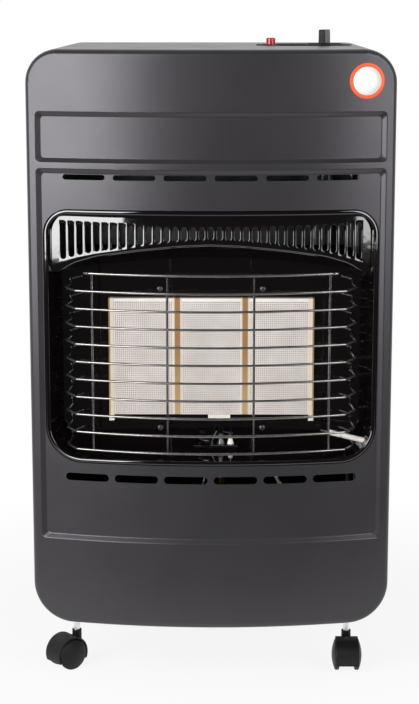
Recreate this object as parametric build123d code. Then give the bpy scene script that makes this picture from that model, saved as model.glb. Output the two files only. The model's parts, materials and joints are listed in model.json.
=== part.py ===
from build123d import *
import math
import os

# Portable gas cabinet heater.
# Millimetres, +Z up, front facing -Y, origin on the floor under the middle of the heater.

# ---- Cabinet: driving dimensions ---------------------------------------------------------------
cabinet_width = 420.0
cabinet_depth = 400.0
skirt_bottom = 81.0
bow_rise = 32.0
top_corner_radius = 38.0
bottom_corner_radius = 47.0
fit_gap = 0.1

# ---- Pressed front fascia ----------------------------------------------------------------------
fascia_sheet = 1.2
fascia_edge_radius = 7.0
fascia_flange_depth = 16.0
top_band_height = 69.5
upper_panel_height = 60.7
opening_headroom = 49.3
panel_side_margin = 11.0
divider_width = 7.0
panel_bottom_margin = 103.5
panel_recess = 3.5
panel_slope = 5.0
panel_corner_radius = 9.0
crease_radius = 2.5
tool_overrun = 6.0

opening_side_margin = 17.5
opening_bottom = 277.0
opening_height = 296.5
opening_top_radius = 30.0
opening_bottom_radius = 42.0
opening_return = 8.0

vent_pitch = 57.6
upper_vent_length = 48.5
upper_vent_height = 6.2
upper_vent_drop = 12.8
lower_vent_length = 50.5
lower_vent_height = 9.0
lower_vent_drop = 17.0

# ---- Cabinet wrap, base tray and rear cover ----------------------------------------------------
wrap_sheet = 1.0
seam_gap = 0.6
wrap_lip_depth = 10.0
wrap_joint_depth = 3.0
wrap_bottom_return = 72.0
rear_return = 16.0

tray_sheet = 1.2
tray_side_height = 34.0
tray_front_upstand = 14.0
tray_rear_upstand = 22.0
tray_tongue_side_margin = 80.0
tray_tongue_setback = 5.0
tray_slot_count = 5
tray_slot_pitch = 54.0
tray_slot_length = 38.0
tray_slot_width = 8.0
tray_front_slot_setback = 98.0
tray_rear_slot_setback = 42.0

cover_sheet = 1.0
cover_depth = 8.0
cover_side_gap = 14.0
cover_foot_margin = 19.0
cover_top_margin = 14.0
cover_corner_radius = 24.0
cover_edge_radius = 3.0
cover_louvre_count = 7
cover_louvre_pitch = 16.0
cover_louvre_length = 210.0
cover_louvre_height = 5.0
cover_louvre_reach = 4.5
cover_lower_bank_rise = 112.0
cover_upper_bank_drop = 149.0
cover_grip_length = 84.0
cover_grip_height = 24.0
cover_grip_drop = 39.0
cover_tab_width = 22.0
cover_tab_drop = 5.0
cover_tab_offset = 110.0
cover_tab_clearance = 1.2

# ---- Casters -----------------------------------------------------------------------------------
caster_side_inset = 44.0
caster_front_setback = 70.0
caster_rear_inset = 60.0
wheel_radius = 19.0
wheel_inner_face = 9.3
wheel_tread_edge = 14.6
wheel_dome = 3.7
wheel_shoulder = 0.8
axle_radius = 2.0
axle_half_length = 15.0
caster_trail = 16.0
caster_hood_radius = 22.0
caster_hood_sheet = 2.2
caster_hood_half_width = 13.5
caster_web_half_width = 8.8
caster_hood_bottom = 10.5
caster_neck_radius = 5.8
caster_neck_top = 45.0
stem_radius = 4.0
stem_bottom = 28.0
running_gap = 0.05
press_gap = 0.02
cup_radius = 14.0
cup_flange_radius = 18.0
cup_sheet = 1.5
cup_depth = 14.0
nut_across_flats = 13.0
nut_height = 6.5
stem_pass = 2.0
caster_turns = {"front_left": -48.0, "front_right": 0.0, "rear_left": -20.0, "rear_right": 12.0}

# ---- Reflector pan, slotted hood and wire guard ------------------------------------------------
enamel_sheet = 1.2
rim_gap = 0.5
rim_width = 5.0
rim_setback = 1.5
rim_depth = 5.0
rim_bead_radius = 1.8
pan_back_setback = 60.0
pan_mouth_inset = 4.5
pan_side_taper = 11.5
pan_floor_inset = 4.3
pan_ceiling_inset = 4.7
pan_top_radius = 26.0
pan_bottom_radius = 32.0
pan_seam_drop = 74.5
pan_back_drop = 49.5
seam_clearance = 0.5

hood_mid_setback = 30.0
hood_end_setback = 8.0
hood_span_margin = 0.5
hood_blend_radius = 24.0
hood_lip_end_drop = 73.5
hood_lip_mid_drop = 59.0
hood_lip_return = 12.0
hood_lip_bend = 8.5
hood_lip_bend_span = 170.0
hood_slot_side_margin = 7.0
hood_slot_pitch = 10.1
hood_slot_width = 7.2
hood_slot_through = 5.0
hood_slot_lead = 0.3
hood_slot_reach = 5.0
hood_slot_top_end_drop = 17.0
hood_slot_top_mid_drop = 23.5
hood_slot_bottom_end_drop = 61.0
hood_slot_bottom_mid_drop = 41.0

wire_radius = 1.4
guard_bow_rise = 26.4
guard_mid_setback = -24.0
guard_top_bar_drop = 74.8
guard_bar_pitch = 20.83
guard_floor_room = 8.0
guard_bend_inset = 19.5
guard_corner_inset = 7.0
guard_corner_setback = 26.0
guard_end_inset = 10.5
guard_end_pass = 4.0
guard_bend_radius = 5.0
guard_top_bar_inset = 30.0
guard_outer_upright_inset = 39.2
guard_inner_upright_x = 49.7
guard_hole_gap = 0.3
weld_gap = 0.05

# ---- Burner ------------------------------------------------------------------------------------
plaque_setback = 52.0
plaque_width = 71.0
plaque_height = 141.0
plaque_thickness = 13.0
plaque_margin = 5.0
plaque_field_depth = 0.4
plaque_centre_rise = 113.5
divider_strip_width = 9.3
edge_strip_width = 6.0
edge_strip_drop = 6.5
strip_proud = 0.6
window_gap = 0.5
retainer_height = 5.0
retainer_thickness = 1.2
pad_left = -3.8
pad_right = 22.5
pad_drop = 5.0
pad_thickness = 1.2
burner_sheet = 1.5
burner_flange_margin = 9.0
burner_flange_height = 184.0
burner_depth = 24.0
burner_wall = 3.0
burner_draft = 4.0
burner_screw_x = 61.0
burner_screw_top_rise = 10.0
burner_screw_bottom_drop = 17.5
screw_shank_radius = 2.0
screw_head_radius = 3.6
screw_head_height = 2.2
screw_hole_gap = 0.2
mixing_tube_radius = 9.0
mixing_tube_wall = 1.2
mixing_tube_left_inset = 29.8
mixing_tube_right_inset = 13.8
mixing_tube_pitch = 42.0
mixing_bell_radius = 11.0
mixing_bell_length = 8.0
mixing_tube_standoff = 13.0
mixing_tube_bend = 11.0
injector_gap = 2.0
injector_length = 11.0
injector_nose_radius = 3.0
injector_hex_flats = 9.0
injector_bar_width = 24.0
injector_bar_depth = 12.0
injector_bar_margin = 18.0
bracket_foot = 7.0
bracket_height = 60.0
supply_pipe_radius = 3.0
supply_pipe_pitch = 8.0
pipe_bend_radius = 14.0
supply_pipe_end = 10.0

# ---- Pilot and ignition ------------------------------------------------------------------------
pilot_x = 11.5
pilot_setback = 44.0
pilot_bracket_sheet = 1.5
pilot_bracket_left = 32.0
pilot_bracket_right = 20.0
pilot_bracket_depth = 22.0
pilot_bracket_height = 5.7
pilot_nozzle_radius = 2.6
pilot_nozzle_foot_radius = 4.2
pilot_nozzle_height = 12.0
pilot_nozzle_bore = 1.2
pilot_scoop_offset = 13.1
pilot_scoop_inner_radius = 4.0
pilot_scoop_outer_radius = 13.0
pilot_scoop_height = 6.0
pilot_scoop_sheet = 0.8
thermocouple_offset = 11.0
thermocouple_lean = 5.7
thermocouple_height = 14.5
thermocouple_radius = 0.8
thermocouple_ball_radius = 1.1
thermocouple_sleeve_radius = 1.8
thermocouple_sleeve_height = 3.0
thermocouple_lead_radius = 1.2
electrode_offset = 11.5
electrode_foot_radius = 4.05
electrode_top_radius = 2.4
electrode_height = 6.2
electrode_wire_radius = 0.6
electrode_wire_rise = 6.6
electrode_wire_slope = 1.7
electrode_wire_reach = 9.6
electrode_wire_bend = 2.0
fitting_collar_flats = 11.0
fitting_collar_height = 8.0
fitting_neck_radius = 3.6
fitting_neck_length = 26.0
fitting_nut_flats = 10.0
fitting_nut_height = 14.0
pilot_pipe_radius = 2.0
thin_pipe_bend = 7.0
pipe_shield_gap = 8.0
pipe_drop = 24.0
pipe_valve_gap = 8.0
capillary_shield_gap = 14.0
capillary_drop = 14.0
capillary_slant_start = 8.0
capillary_slant = 15.0
capillary_valve_gap = 16.0
capillary_offset = 8.0
lead_radius = 1.9
lead_wall_distance = 10.0
lead_straight = 8.0
lead_bend = 5.0
ignition_lead_front_gap = 24.0
ignition_lead_lift = 16.0
pilot_lead_drop = 14.0
pilot_lead_reach = 47.0
pilot_lead_slant = 13.0
pilot_lead_sag = 4.0
pilot_lead_curve = 20.0
pilot_lead_front_gap = 12.0
pilot_lead_lift = 7.0
ignition_rod_radius = 3.25
ignition_tip_inset = 58.0
ignition_tip_setback = 34.0
ignition_tip_rise = 24.7
ignition_wall_inset = 2.0
ignition_wall_setback = 20.0
ignition_wall_rise = 14.2
ignition_ceramic_start = 11.0
ignition_groove = 25.3
ignition_groove_length = 1.0
ignition_groove_depth = 0.8
ignition_outer_length = 8.0
ignition_hole_gap = 0.3

# ---- Heat shield and controls ------------------------------------------------------------------
shield_setback = 110.0
shield_sheet = 1.0
shield_foot_drop = 41.0
shield_top_drop = 77.0
shield_flange = 12.0
shield_rib_count = 3
shield_rib_width = 14.0
shield_rib_depth = 4.0

control_y = 20.0
knob_side_distance = 73.0
button_spacing = 65.5
bezel_button_margin = 18.0
bezel_knob_margin = 33.5
bezel_depth_y = 62.0
bezel_flange = 5.0
bezel_rise = 1.6
bezel_wall = 2.0
bezel_recess = 9.0
knob_skirt_radius = 21.5
knob_skirt_height = 4.0
knob_lift = 8.0
knob_stand = 19.0
knob_grip_width = 8.4
knob_grip_length = 34.0
knob_grip_corner = 1.2
knob_grip_turn = -14.0
knob_travel = 3.0
knob_edge_radius = 1.2
spindle_radius = 3.0
spindle_flat = 2.2
spindle_engagement = 8.0
valve_width = 44.0
valve_depth_y = 32.0
valve_height = 30.0
valve_neck_radius = 13.0
valve_drop = 53.0
inlet_radius = 6.58
inlet_length = 12.0
inlet_bore = 3.0
inlet_hex_flats = 17.0
inlet_hex_length = 8.0
button_radius = 5.75
button_stand = 9.0
button_travel = 6.0
igniter_radius = 9.5
igniter_collar_radius = 10.8
igniter_drop = 63.0
terminal_length = 6.0
terminal_radius = 2.2
terminal_offset = 4.0

# ---- Derived places ----------------------------------------------------------------------------
half_width = cabinet_width / 2
front_y = -cabinet_depth / 2
back_y = cabinet_depth / 2
edge_y = front_y + bow_rise
bow_radius = (half_width ** 2 + bow_rise ** 2) / (2 * bow_rise)
bow_axis_y = front_y + bow_radius
bow_axis = Axis((0, bow_axis_y, 0), (0, 0, 1))

opening_top = opening_bottom + opening_height
panel_bottom = skirt_bottom + panel_bottom_margin
panel_divider = opening_top + opening_headroom
panel_top = panel_divider + upper_panel_height
body_top = panel_top + top_band_height
panel_half_width = half_width - panel_side_margin
opening_half_width = half_width - opening_side_margin
vent_count = int(2 * panel_half_width / vent_pitch)
upper_vent_height_at = panel_divider - upper_vent_drop
lower_vent_height_at = opening_bottom - lower_vent_drop

fascia_back = edge_y + fascia_flange_depth
wrap_front = fascia_back + seam_gap
wrap_back = back_y - cover_depth
wrap_bottom_return_start = half_width - wrap_bottom_return
tray_floor = skirt_bottom + fascia_sheet + fit_gap
tray_top = tray_floor + tray_sheet
tray_tongue_half_width = half_width - tray_tongue_side_margin
tray_slot_rows = (edge_y + tray_front_slot_setback, wrap_back - tray_rear_slot_setback)
cover_bottom = skirt_bottom + cover_foot_margin
cover_top = body_top - cover_top_margin
cover_louvre_banks = (cover_bottom + cover_lower_bank_rise, cover_top - cover_upper_bank_drop)

cup_bottom = skirt_bottom - cup_depth
stem_top = cup_bottom + cup_sheet + nut_height + stem_pass
caster_offset_x = half_width - caster_side_inset
caster_places = {
    "front_left": (-caster_offset_x, edge_y + caster_front_setback),
    "front_right": (caster_offset_x, edge_y + caster_front_setback),
    "rear_left": (-caster_offset_x, wrap_back - caster_rear_inset),
    "rear_right": (caster_offset_x, wrap_back - caster_rear_inset),
}

pan_back = edge_y + pan_back_setback
pan_front_half_width = opening_half_width - pan_mouth_inset
pan_back_half_width = pan_front_half_width - pan_side_taper
pan_floor = opening_bottom + pan_floor_inset
pan_ceiling = opening_top - pan_ceiling_inset
pan_seam = opening_top - pan_seam_drop
pan_back_top = opening_top - pan_back_drop
hood_half_span = pan_back_half_width + hood_span_margin
hood_lip_end = opening_top - hood_lip_end_drop
hood_lip_mid = opening_top - hood_lip_mid_drop
hood_rise = hood_mid_setback - hood_end_setback
hood_radius = (hood_half_span ** 2 + hood_rise ** 2) / (2 * hood_rise)
hood_axis_y = edge_y + hood_mid_setback - hood_radius
hood_slot_count = 2 * int((hood_half_span - hood_slot_side_margin) / hood_slot_pitch) + 1
hood_slot_last = hood_slot_count // 2 * hood_slot_pitch

guard_top_bar = opening_top - guard_top_bar_drop
guard_bar_count = 1 + int((guard_top_bar - pan_floor - guard_floor_room) / guard_bar_pitch)
guard_bend_x = pan_back_half_width - guard_bend_inset
guard_corner_x = pan_back_half_width - guard_corner_inset
guard_end_x = pan_back_half_width - guard_end_inset
guard_top_bar_half_length = pan_back_half_width - guard_top_bar_inset
guard_outer_upright_x = pan_back_half_width - guard_outer_upright_inset
guard_upright_positions = (-guard_outer_upright_x, -guard_inner_upright_x,
                           guard_inner_upright_x, guard_outer_upright_x)
guard_bow_radius = (guard_bend_x ** 2 + guard_bow_rise ** 2) / (2 * guard_bow_rise)
guard_centre_y = edge_y + guard_mid_setback + guard_bow_radius

plaque_front = edge_y + plaque_setback
plaque_centre_z = opening_bottom + plaque_centre_rise
plaque_bottom = plaque_centre_z - plaque_height / 2
plaque_top = plaque_centre_z + plaque_height / 2
burner_front = pan_back + enamel_sheet
burner_back = burner_front + burner_depth
burner_half_width = 1.5 * plaque_width + divider_strip_width + edge_strip_width
mixing_tube_left = mixing_tube_left_inset - burner_half_width
mixing_tube_right = burner_half_width - mixing_tube_right_inset

ignition_tip_x = pan_front_half_width - ignition_tip_inset
ignition_wall_x = pan_front_half_width - ignition_wall_inset
shield_front = edge_y + shield_setback
shield_bottom = opening_bottom - shield_foot_drop
shield_top = body_top - shield_top_drop
knob_x = half_width - knob_side_distance
button_x = knob_x - button_spacing
bezel_left = button_x - bezel_button_margin
bezel_right = knob_x + bezel_knob_margin
bezel_floor = body_top - bezel_recess
valve_centre_z = body_top - valve_drop
igniter_bottom = body_top - igniter_drop


# ---- Shared helpers ----------------------------------------------------------------------------
def block(x_low, x_high, y_low, y_high, z_low, z_high):
    """Rectangular block between two corners."""
    centre = Pos((x_low + x_high) / 2, (y_low + y_high) / 2, (z_low + z_high) / 2)
    return centre * Box(x_high - x_low, y_high - y_low, z_high - z_low)


def slab(outline, y_low, y_high):
    """Carry an outline drawn in X and Z from y_low back to y_high."""
    return extrude(Plane.XZ.offset(-y_high) * outline, amount=y_high - y_low)


def panel_outline(half, bottom, top, top_radius, bottom_radius):
    """Upright rectangle with one radius at its top corners and another at its bottom ones."""
    sketch = Pos(0, (bottom + top) / 2) * Rectangle(2 * half, top - bottom)
    sketch = fillet(sketch.vertices().group_by(Axis.Y)[-1], top_radius)
    return fillet(sketch.vertices().group_by(Axis.Y)[0], bottom_radius)


def cabinet_outline(inset):
    """Front outline of the cabinet, set in by inset all round."""
    return panel_outline(half_width - inset, skirt_bottom + inset, body_top - inset,
                         top_corner_radius - inset, bottom_corner_radius - inset)


def opening_outline(inset):
    """Outline of the fascia opening, set in by inset all round."""
    return panel_outline(opening_half_width - inset, opening_bottom + inset, opening_top - inset,
                         opening_top_radius - inset, opening_bottom_radius - inset)


def behind_bow(setback):
    """Everything behind the bowed front surface, set back by a distance."""
    return Pos(0, bow_axis_y, body_top / 2) * Cylinder(bow_radius - setback, 2 * body_top)


def bow_layer(near, far):
    """The layer between two setbacks behind the bowed front surface."""
    return behind_bow(near) - behind_bow(far)


def bow_point(radius, angle):
    """Point at a radius from the bow axis, angle in radians from straight ahead."""
    return (radius * math.sin(angle), bow_axis_y - radius * math.cos(angle))


def upright_cylinder(x, y, z_low, z_high, radius):
    """Cylinder standing on z_low."""
    return Pos(x, y, (z_low + z_high) / 2) * Cylinder(radius, z_high - z_low)


def cylinder_between(start, end, radius):
    """Round rod from one point to another."""
    line = Vector(*end) - Vector(*start)
    return extrude(Plane(origin=start, z_dir=line) * Circle(radius), amount=line.length)


def hexagon_prism(start, end, across_flats):
    """Hexagonal prism from one point to another."""
    line = Vector(*end) - Vector(*start)
    profile = RegularPolygon(across_flats / 2, 6, major_radius=False)
    return extrude(Plane(origin=start, z_dir=line) * profile, amount=line.length)


def bent_path(points, bends):
    """Straight runs from point to point, joined by tangent arcs with one radius for each corner."""
    places = [Vector(*point) for point in points]
    edges = []
    start = places[0]
    for before, corner, after, bend in zip(places, places[1:], places[2:], bends):
        back = (before - corner).normalized()
        onward = (after - corner).normalized()
        half_angle = math.acos(back.dot(onward)) / 2
        middle = (back + onward).normalized()
        reach = bend / math.tan(half_angle)
        arc_start = corner + back * reach
        arc_end = corner + onward * reach
        arc_middle = corner + middle * (bend / math.sin(half_angle) - bend)
        edges += [Line(start, arc_start), ThreePointArc(arc_start, arc_middle, arc_end)]
        start = arc_end
    edges.append(Line(start, places[-1]))
    return Wire([edge for line in edges for edge in line.edges()])


def bent_tube(points, radius, *bends):
    """Round tube along straight runs; the last bend radius given serves all further corners."""
    corner_bends = [bends[min(i, len(bends) - 1)] for i in range(len(points) - 2)]
    path = bent_path(points, corner_bends)
    return sweep(Plane(origin=path @ 0, z_dir=path % 0) * Circle(radius), path=path)


def turned(profile_points):
    """Solid of revolution about Z from points given as radius and height."""
    profile = make_face(Polyline(*profile_points, close=True))
    return revolve(Plane.XZ * profile, Axis.Z)


def group(solids):
    """Several separate solids kept together in one sub-part."""
    return Compound(children=list(solids))


def arch(x, half_span, end_height, mid_height):
    """Height of a parabolic arch over the middle of the heater."""
    return mid_height + (end_height - mid_height) * (x / half_span) ** 2


# ---- Front fascia ------------------------------------------------------------------------------
def fascia_form(inset):
    """Bowed front with rounded edges, as a solid set in by inset."""
    back = fascia_back if inset == 0 else fascia_back + tool_overrun
    form = slab(cabinet_outline(inset), front_y - tool_overrun, back) & behind_bow(inset)
    front_face = form.faces().filter_by(GeomType.CYLINDER).sort_by(SortBy.AREA)[-1]
    return fillet(front_face.edges(), fascia_edge_radius - inset)


def panel_recess_form(bottom, top, grow):
    """Shallow pressing in the bowed front, with sloping walls; grow offsets it by a sheet."""
    slope = panel_slope / panel_recess
    floor_depth = panel_recess + grow
    spread = grow * (math.hypot(1, slope) - slope)
    outward = slope * tool_overrun + spread
    inward = slope * floor_depth - spread
    outer_radius = bow_radius + tool_overrun
    inner_radius = bow_radius - floor_depth
    profile = make_face(Polyline(
        (outer_radius, bottom - outward), (outer_radius, top + outward),
        (inner_radius, top - inward), (inner_radius, bottom + inward), close=True))
    section = Plane(origin=(0, bow_axis_y, 0), x_dir=(0, -1, 0), z_dir=(-1, 0, 0)) * profile
    sweep_angle = math.degrees(2 * math.asin(half_width / bow_radius)) + 2
    ring = revolve(section, bow_axis, sweep_angle).rotate(bow_axis, -sweep_angle / 2)
    edge_angle = math.asin(panel_half_width / bow_radius)
    outer_angle = edge_angle + outward / bow_radius
    inner_angle = edge_angle - inward / bow_radius
    wedge = make_face(Polyline(
        bow_point(outer_radius, -outer_angle), bow_point(inner_radius, -inner_angle),
        (0, bow_axis_y), bow_point(inner_radius, inner_angle),
        bow_point(outer_radius, outer_angle), (0, front_y - half_width), close=True))
    height = top - bottom + 2 * outward + 2
    form = ring & (Pos(0, 0, bottom - outward - 1) * extrude(wedge, height))
    corners = [e for e in form.edges()
               if e.geom_type != GeomType.LINE and e.length < 4 * outward]
    return fillet(corners, panel_corner_radius)


def soften_creases(form, bottom, top):
    """Round the fold lines of one pressing."""
    creases = []
    for edge in form.edges():
        box = edge.bounding_box()
        in_height = box.min.Z > bottom - divider_width / 2 and box.max.Z < top + divider_width / 2
        in_width = max(-box.min.X, box.max.X) < panel_half_width + divider_width / 2
        if in_height and in_width and box.max.Y < fascia_back - 1:
            creases.append(edge)
    return fillet(creases, crease_radius)


def vent_row(length, height, height_at):
    """Row of round-ended vents as an outline in X and Z."""
    first = -(vent_count - 1) / 2 * vent_pitch
    return Sketch() + [Pos(first + i * vent_pitch, height_at) * SlotOverall(length, height)
                       for i in range(vent_count)]


def front_fascia():
    """Pressed steel front: bowed, with two recessed panels, the opening and two vent rows."""
    panels = [(panel_bottom, panel_divider - divider_width / 2),
              (panel_divider + divider_width / 2, panel_top)]
    forms = []
    for grow in (0, fascia_sheet):
        form = fascia_form(grow)
        for bottom, top in panels:
            form -= panel_recess_form(bottom, top, grow)
        for bottom, top in panels:
            form = soften_creases(form, bottom, top)
        forms.append(form)
    shell = forms[0] - forms[1]
    cut_depth = edge_y + fascia_flange_depth
    shell -= slab(opening_outline(0), front_y - 1, cut_depth)
    shell -= slab(vent_row(upper_vent_length, upper_vent_height, upper_vent_height_at),
                  front_y - 1, cut_depth)
    shell -= slab(vent_row(lower_vent_length, lower_vent_height, lower_vent_height_at),
                  front_y - 1, cut_depth)
    ring = slab(opening_outline(-fascia_sheet) - opening_outline(0), front_y, cut_depth)
    collar = ring & bow_layer(panel_recess + fascia_sheet / 2, panel_recess + opening_return)
    return shell + collar


# ---- Cabinet wrap, tray, rear cover ------------------------------------------------------------
def outline_ring(outer_inset, inner_inset, y_low, y_high):
    """Tube that follows the cabinet outline between two insets."""
    return slab(cabinet_outline(outer_inset) - cabinet_outline(inner_inset), y_low, y_high)


def bezel_outline(grow):
    """Round-ended outline of the control bezel in the top, grown by a distance."""
    length = bezel_right - bezel_left + 2 * grow
    return Pos((bezel_left + bezel_right) / 2, control_y) * SlotOverall(length, bezel_depth_y + 2 * grow)


def cabinet_wrap():
    """Sides and top bent from one sheet, with a joggled front lip and a rear return flange."""
    lip_outer = fascia_sheet + fit_gap
    lip_inner = lip_outer + wrap_sheet
    wrap = outline_ring(0, wrap_sheet, wrap_front, wrap_back)
    wrap += outline_ring(0, lip_inner, wrap_front, wrap_front + wrap_joint_depth)
    wrap += outline_ring(lip_outer, lip_inner, fascia_back - wrap_lip_depth,
                         wrap_front + wrap_joint_depth)
    wrap += outline_ring(0, rear_return, wrap_back - wrap_sheet, wrap_back)
    reach = wrap_bottom_return_start
    wrap -= block(-reach, reach, front_y, back_y, 0, skirt_bottom + rear_return + 1)
    top_hole = Pos(0, 0, body_top - bezel_recess) * extrude(bezel_outline(-bezel_flange), 2 * bezel_recess)
    return wrap - top_hole


def base_tray():
    """Floor of the cylinder compartment, hugging the wrap, with vents and upstands."""
    y_low = wrap_front + wrap_joint_depth + fit_gap
    y_high = wrap_back - wrap_sheet - fit_gap
    inset = fascia_sheet + fit_gap
    side_top = skirt_bottom + tray_side_height
    trough = outline_ring(inset, inset + tray_sheet, y_low, y_high)
    trough -= block(-half_width, half_width, front_y, back_y, side_top, body_top)
    solid = slab(cabinet_outline(inset), y_low, y_high)
    front_band = block(-half_width, half_width, y_low, y_low + tray_sheet, 0,
                       tray_floor + tray_front_upstand)
    rear_band = block(-half_width, half_width, y_high - tray_sheet, y_high, 0,
                      tray_floor + tray_rear_upstand)
    tongue = block(-tray_tongue_half_width, tray_tongue_half_width, edge_y + tray_tongue_setback,
                   y_low + tray_sheet, tray_floor, tray_top)
    tray = trough + (solid & front_band) + (solid & rear_band)
    tray -= block(-tray_tongue_half_width, tray_tongue_half_width, y_low - 1, y_low + tray_sheet,
                  tray_top, tray_floor + tray_front_upstand + 1)
    tray += tongue
    first = -(tray_slot_count - 1) / 2 * tray_slot_pitch
    slots = Sketch() + [Pos(first + i * tray_slot_pitch, y) * SlotOverall(tray_slot_length, tray_slot_width)
                        for i in range(tray_slot_count) for y in tray_slot_rows]
    tray -= Pos(0, 0, tray_floor - 1) * extrude(slots, tray_sheet + 2)
    notch_low = cover_bottom - cover_tab_drop - cover_tab_clearance
    notch_half = cover_tab_width / 2 + cover_tab_clearance
    return tray - [block(x - notch_half, x + notch_half, y_high - 2 * tray_sheet, y_high + 1,
                         notch_low, tray_floor + tray_rear_upstand + 1)
                   for x in (-cover_tab_offset, cover_tab_offset)]


def cover_outline(inset):
    """Outline of the rear cover, set in by inset."""
    return panel_outline(half_width - cover_side_gap - inset, cover_bottom + inset, cover_top - inset,
                         cover_corner_radius - inset, cover_corner_radius - inset)


def louvre_blade(height_at):
    """Blade pressed in from the upper edge of one louvre slot, sloping down behind it."""
    top = cover_louvre_height / 2
    profile = make_face(Polyline(
        (-cover_sheet / 2, top), (-cover_sheet / 2, top + cover_sheet), (0, top + cover_sheet),
        (cover_louvre_reach, cover_sheet - top), (cover_louvre_reach, -top), (0, top), close=True))
    plane = Plane(origin=(-cover_louvre_length / 2, back_y - cover_sheet, height_at),
                  x_dir=(0, -1, 0), z_dir=(1, 0, 0))
    return plane.location * extrude(profile, cover_louvre_length)


def louvre_heights():
    """Heights of all louvres, in their banks."""
    first = -(cover_louvre_count - 1) / 2 * cover_louvre_pitch
    return [bank + first + i * cover_louvre_pitch
            for bank in cover_louvre_banks for i in range(cover_louvre_count)]


def cover_tabs():
    """Tabs at the foot of the rear cover that hook over the tray's rear upstand."""
    tabs = []
    leg_back = wrap_back - wrap_sheet - fit_gap - tray_sheet - cover_tab_clearance
    leg_front = leg_back - cover_sheet
    for x in (-cover_tab_offset, cover_tab_offset):
        left = x - cover_tab_width / 2
        right = x + cover_tab_width / 2
        tabs.append(block(left, right, leg_front, back_y - cover_depth / 2,
                          cover_bottom, cover_bottom + cover_sheet))
        tabs.append(block(left, right, leg_front, leg_back,
                          cover_bottom - cover_tab_drop, cover_bottom + cover_sheet))
    return tabs


def rear_cover():
    """Tilting rear pan with two banks of louvres, a hand grip and hooked tabs at its foot."""
    pan = slab(cover_outline(0), wrap_back + fit_gap, back_y)
    pan = fillet(pan.faces().sort_by(Axis.Y)[-1].edges(), cover_edge_radius)
    pan -= slab(cover_outline(cover_sheet), wrap_back - 1, back_y - cover_sheet)
    cuts = Pos(0, cover_top - cover_grip_drop) * SlotOverall(cover_grip_length, cover_grip_height)
    cuts = Sketch() + cuts + [Pos(0, z) * SlotOverall(cover_louvre_length, cover_louvre_height)
                              for z in louvre_heights()]
    pan -= slab(cuts, back_y - 2 * cover_sheet, back_y + 1)
    return pan + cover_tabs() + [louvre_blade(z) for z in louvre_heights()]


# ---- Casters -----------------------------------------------------------------------------------
def caster_frame(place):
    """Location of a caster: its stem on the floor plane, turned to its rest direction."""
    x, y = caster_places[place]
    return Pos(x, y, 0) * Rot(0, 0, caster_turns[place])


def caster_hood(place):
    """Moulded hood: web between the wheels, cover over them and the neck for the stem."""
    axle = Plane(origin=(0, -caster_trail, wheel_radius), z_dir=(1, 0, 0))
    shell = axle * Cylinder(caster_hood_radius, 2 * caster_hood_half_width)
    inner_radius = caster_hood_radius - caster_hood_sheet
    well_length = caster_hood_half_width - caster_web_half_width
    for side in (-1, 1):
        middle = side * (caster_web_half_width + well_length / 2)
        shell -= axle * (Pos(0, 0, middle) * Cylinder(inner_radius, well_length))
    reach = 2 * caster_hood_radius
    shell -= block(-reach, reach, -reach, reach, -reach, caster_hood_bottom)
    neck = upright_cylinder(0, 0, stem_bottom - 3, caster_neck_top, caster_neck_radius)
    hood = shell + neck
    hood -= upright_cylinder(0, 0, stem_bottom - 1, caster_neck_top + 1, stem_radius + running_gap)
    hood -= axle * Cylinder(axle_radius + running_gap, 2 * caster_hood_half_width)
    return caster_frame(place) * hood


def caster_wheels(place):
    """Pair of wheels with domed outer faces."""
    shoulder = wheel_radius - wheel_shoulder
    dome_top = wheel_tread_edge + wheel_dome
    bore = axle_radius + press_gap
    bore_end = axle_half_length + press_gap
    bulge = wheel_tread_edge + 0.82 * wheel_dome
    profile = make_face(
        Polyline((0, dome_top), (0, bore_end), (bore, bore_end), (bore, wheel_inner_face),
                 (wheel_radius - 1, wheel_inner_face), (wheel_radius, wheel_inner_face + 1),
                 (wheel_radius, wheel_tread_edge - 1), (shoulder, wheel_tread_edge))
        + ThreePointArc((shoulder, wheel_tread_edge), (0.6 * shoulder, bulge), (bore, dome_top))
        + Line((bore, dome_top), (0, dome_top)))
    wheel = revolve(Plane.XZ * profile, Axis.Z)
    pair = []
    for side in (-1, 1):
        axle = Plane(origin=(0, -caster_trail, wheel_radius), z_dir=(side, 0, 0))
        pair.append(caster_frame(place) * axle.location * wheel)
    return group(pair)


def caster_axle(place):
    """Steel axle pin that both wheels are pressed onto."""
    pin = Plane(origin=(0, -caster_trail, wheel_radius), z_dir=(1, 0, 0)) * Cylinder(
        axle_radius, 2 * axle_half_length)
    return caster_frame(place) * pin


def caster_cups():
    """Pressed cups under the body that hold the caster stems."""
    cup = turned([
        (stem_radius + fit_gap, cup_bottom), (cup_radius, cup_bottom),
        (cup_radius, skirt_bottom - cup_sheet), (cup_flange_radius, skirt_bottom - cup_sheet),
        (cup_flange_radius, skirt_bottom), (cup_radius - cup_sheet, skirt_bottom),
        (cup_radius - cup_sheet, cup_bottom + cup_sheet), (stem_radius + fit_gap, cup_bottom + cup_sheet)])
    return group(Pos(x, y, 0) * cup for x, y in caster_places.values())


def caster_stems():
    """Threaded caster stems, plain here."""
    return group(upright_cylinder(x, y, stem_bottom, stem_top, stem_radius)
                 for x, y in caster_places.values())


def caster_nuts():
    """Nut inside each cup."""
    low = cup_bottom + cup_sheet
    nuts = []
    for x, y in caster_places.values():
        nut = hexagon_prism((x, y, low), (x, y, low + nut_height), nut_across_flats)
        nuts.append(nut - upright_cylinder(x, y, low - 1, low + nut_height + 1,
                                           stem_radius + press_gap))
    return group(nuts)


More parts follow.
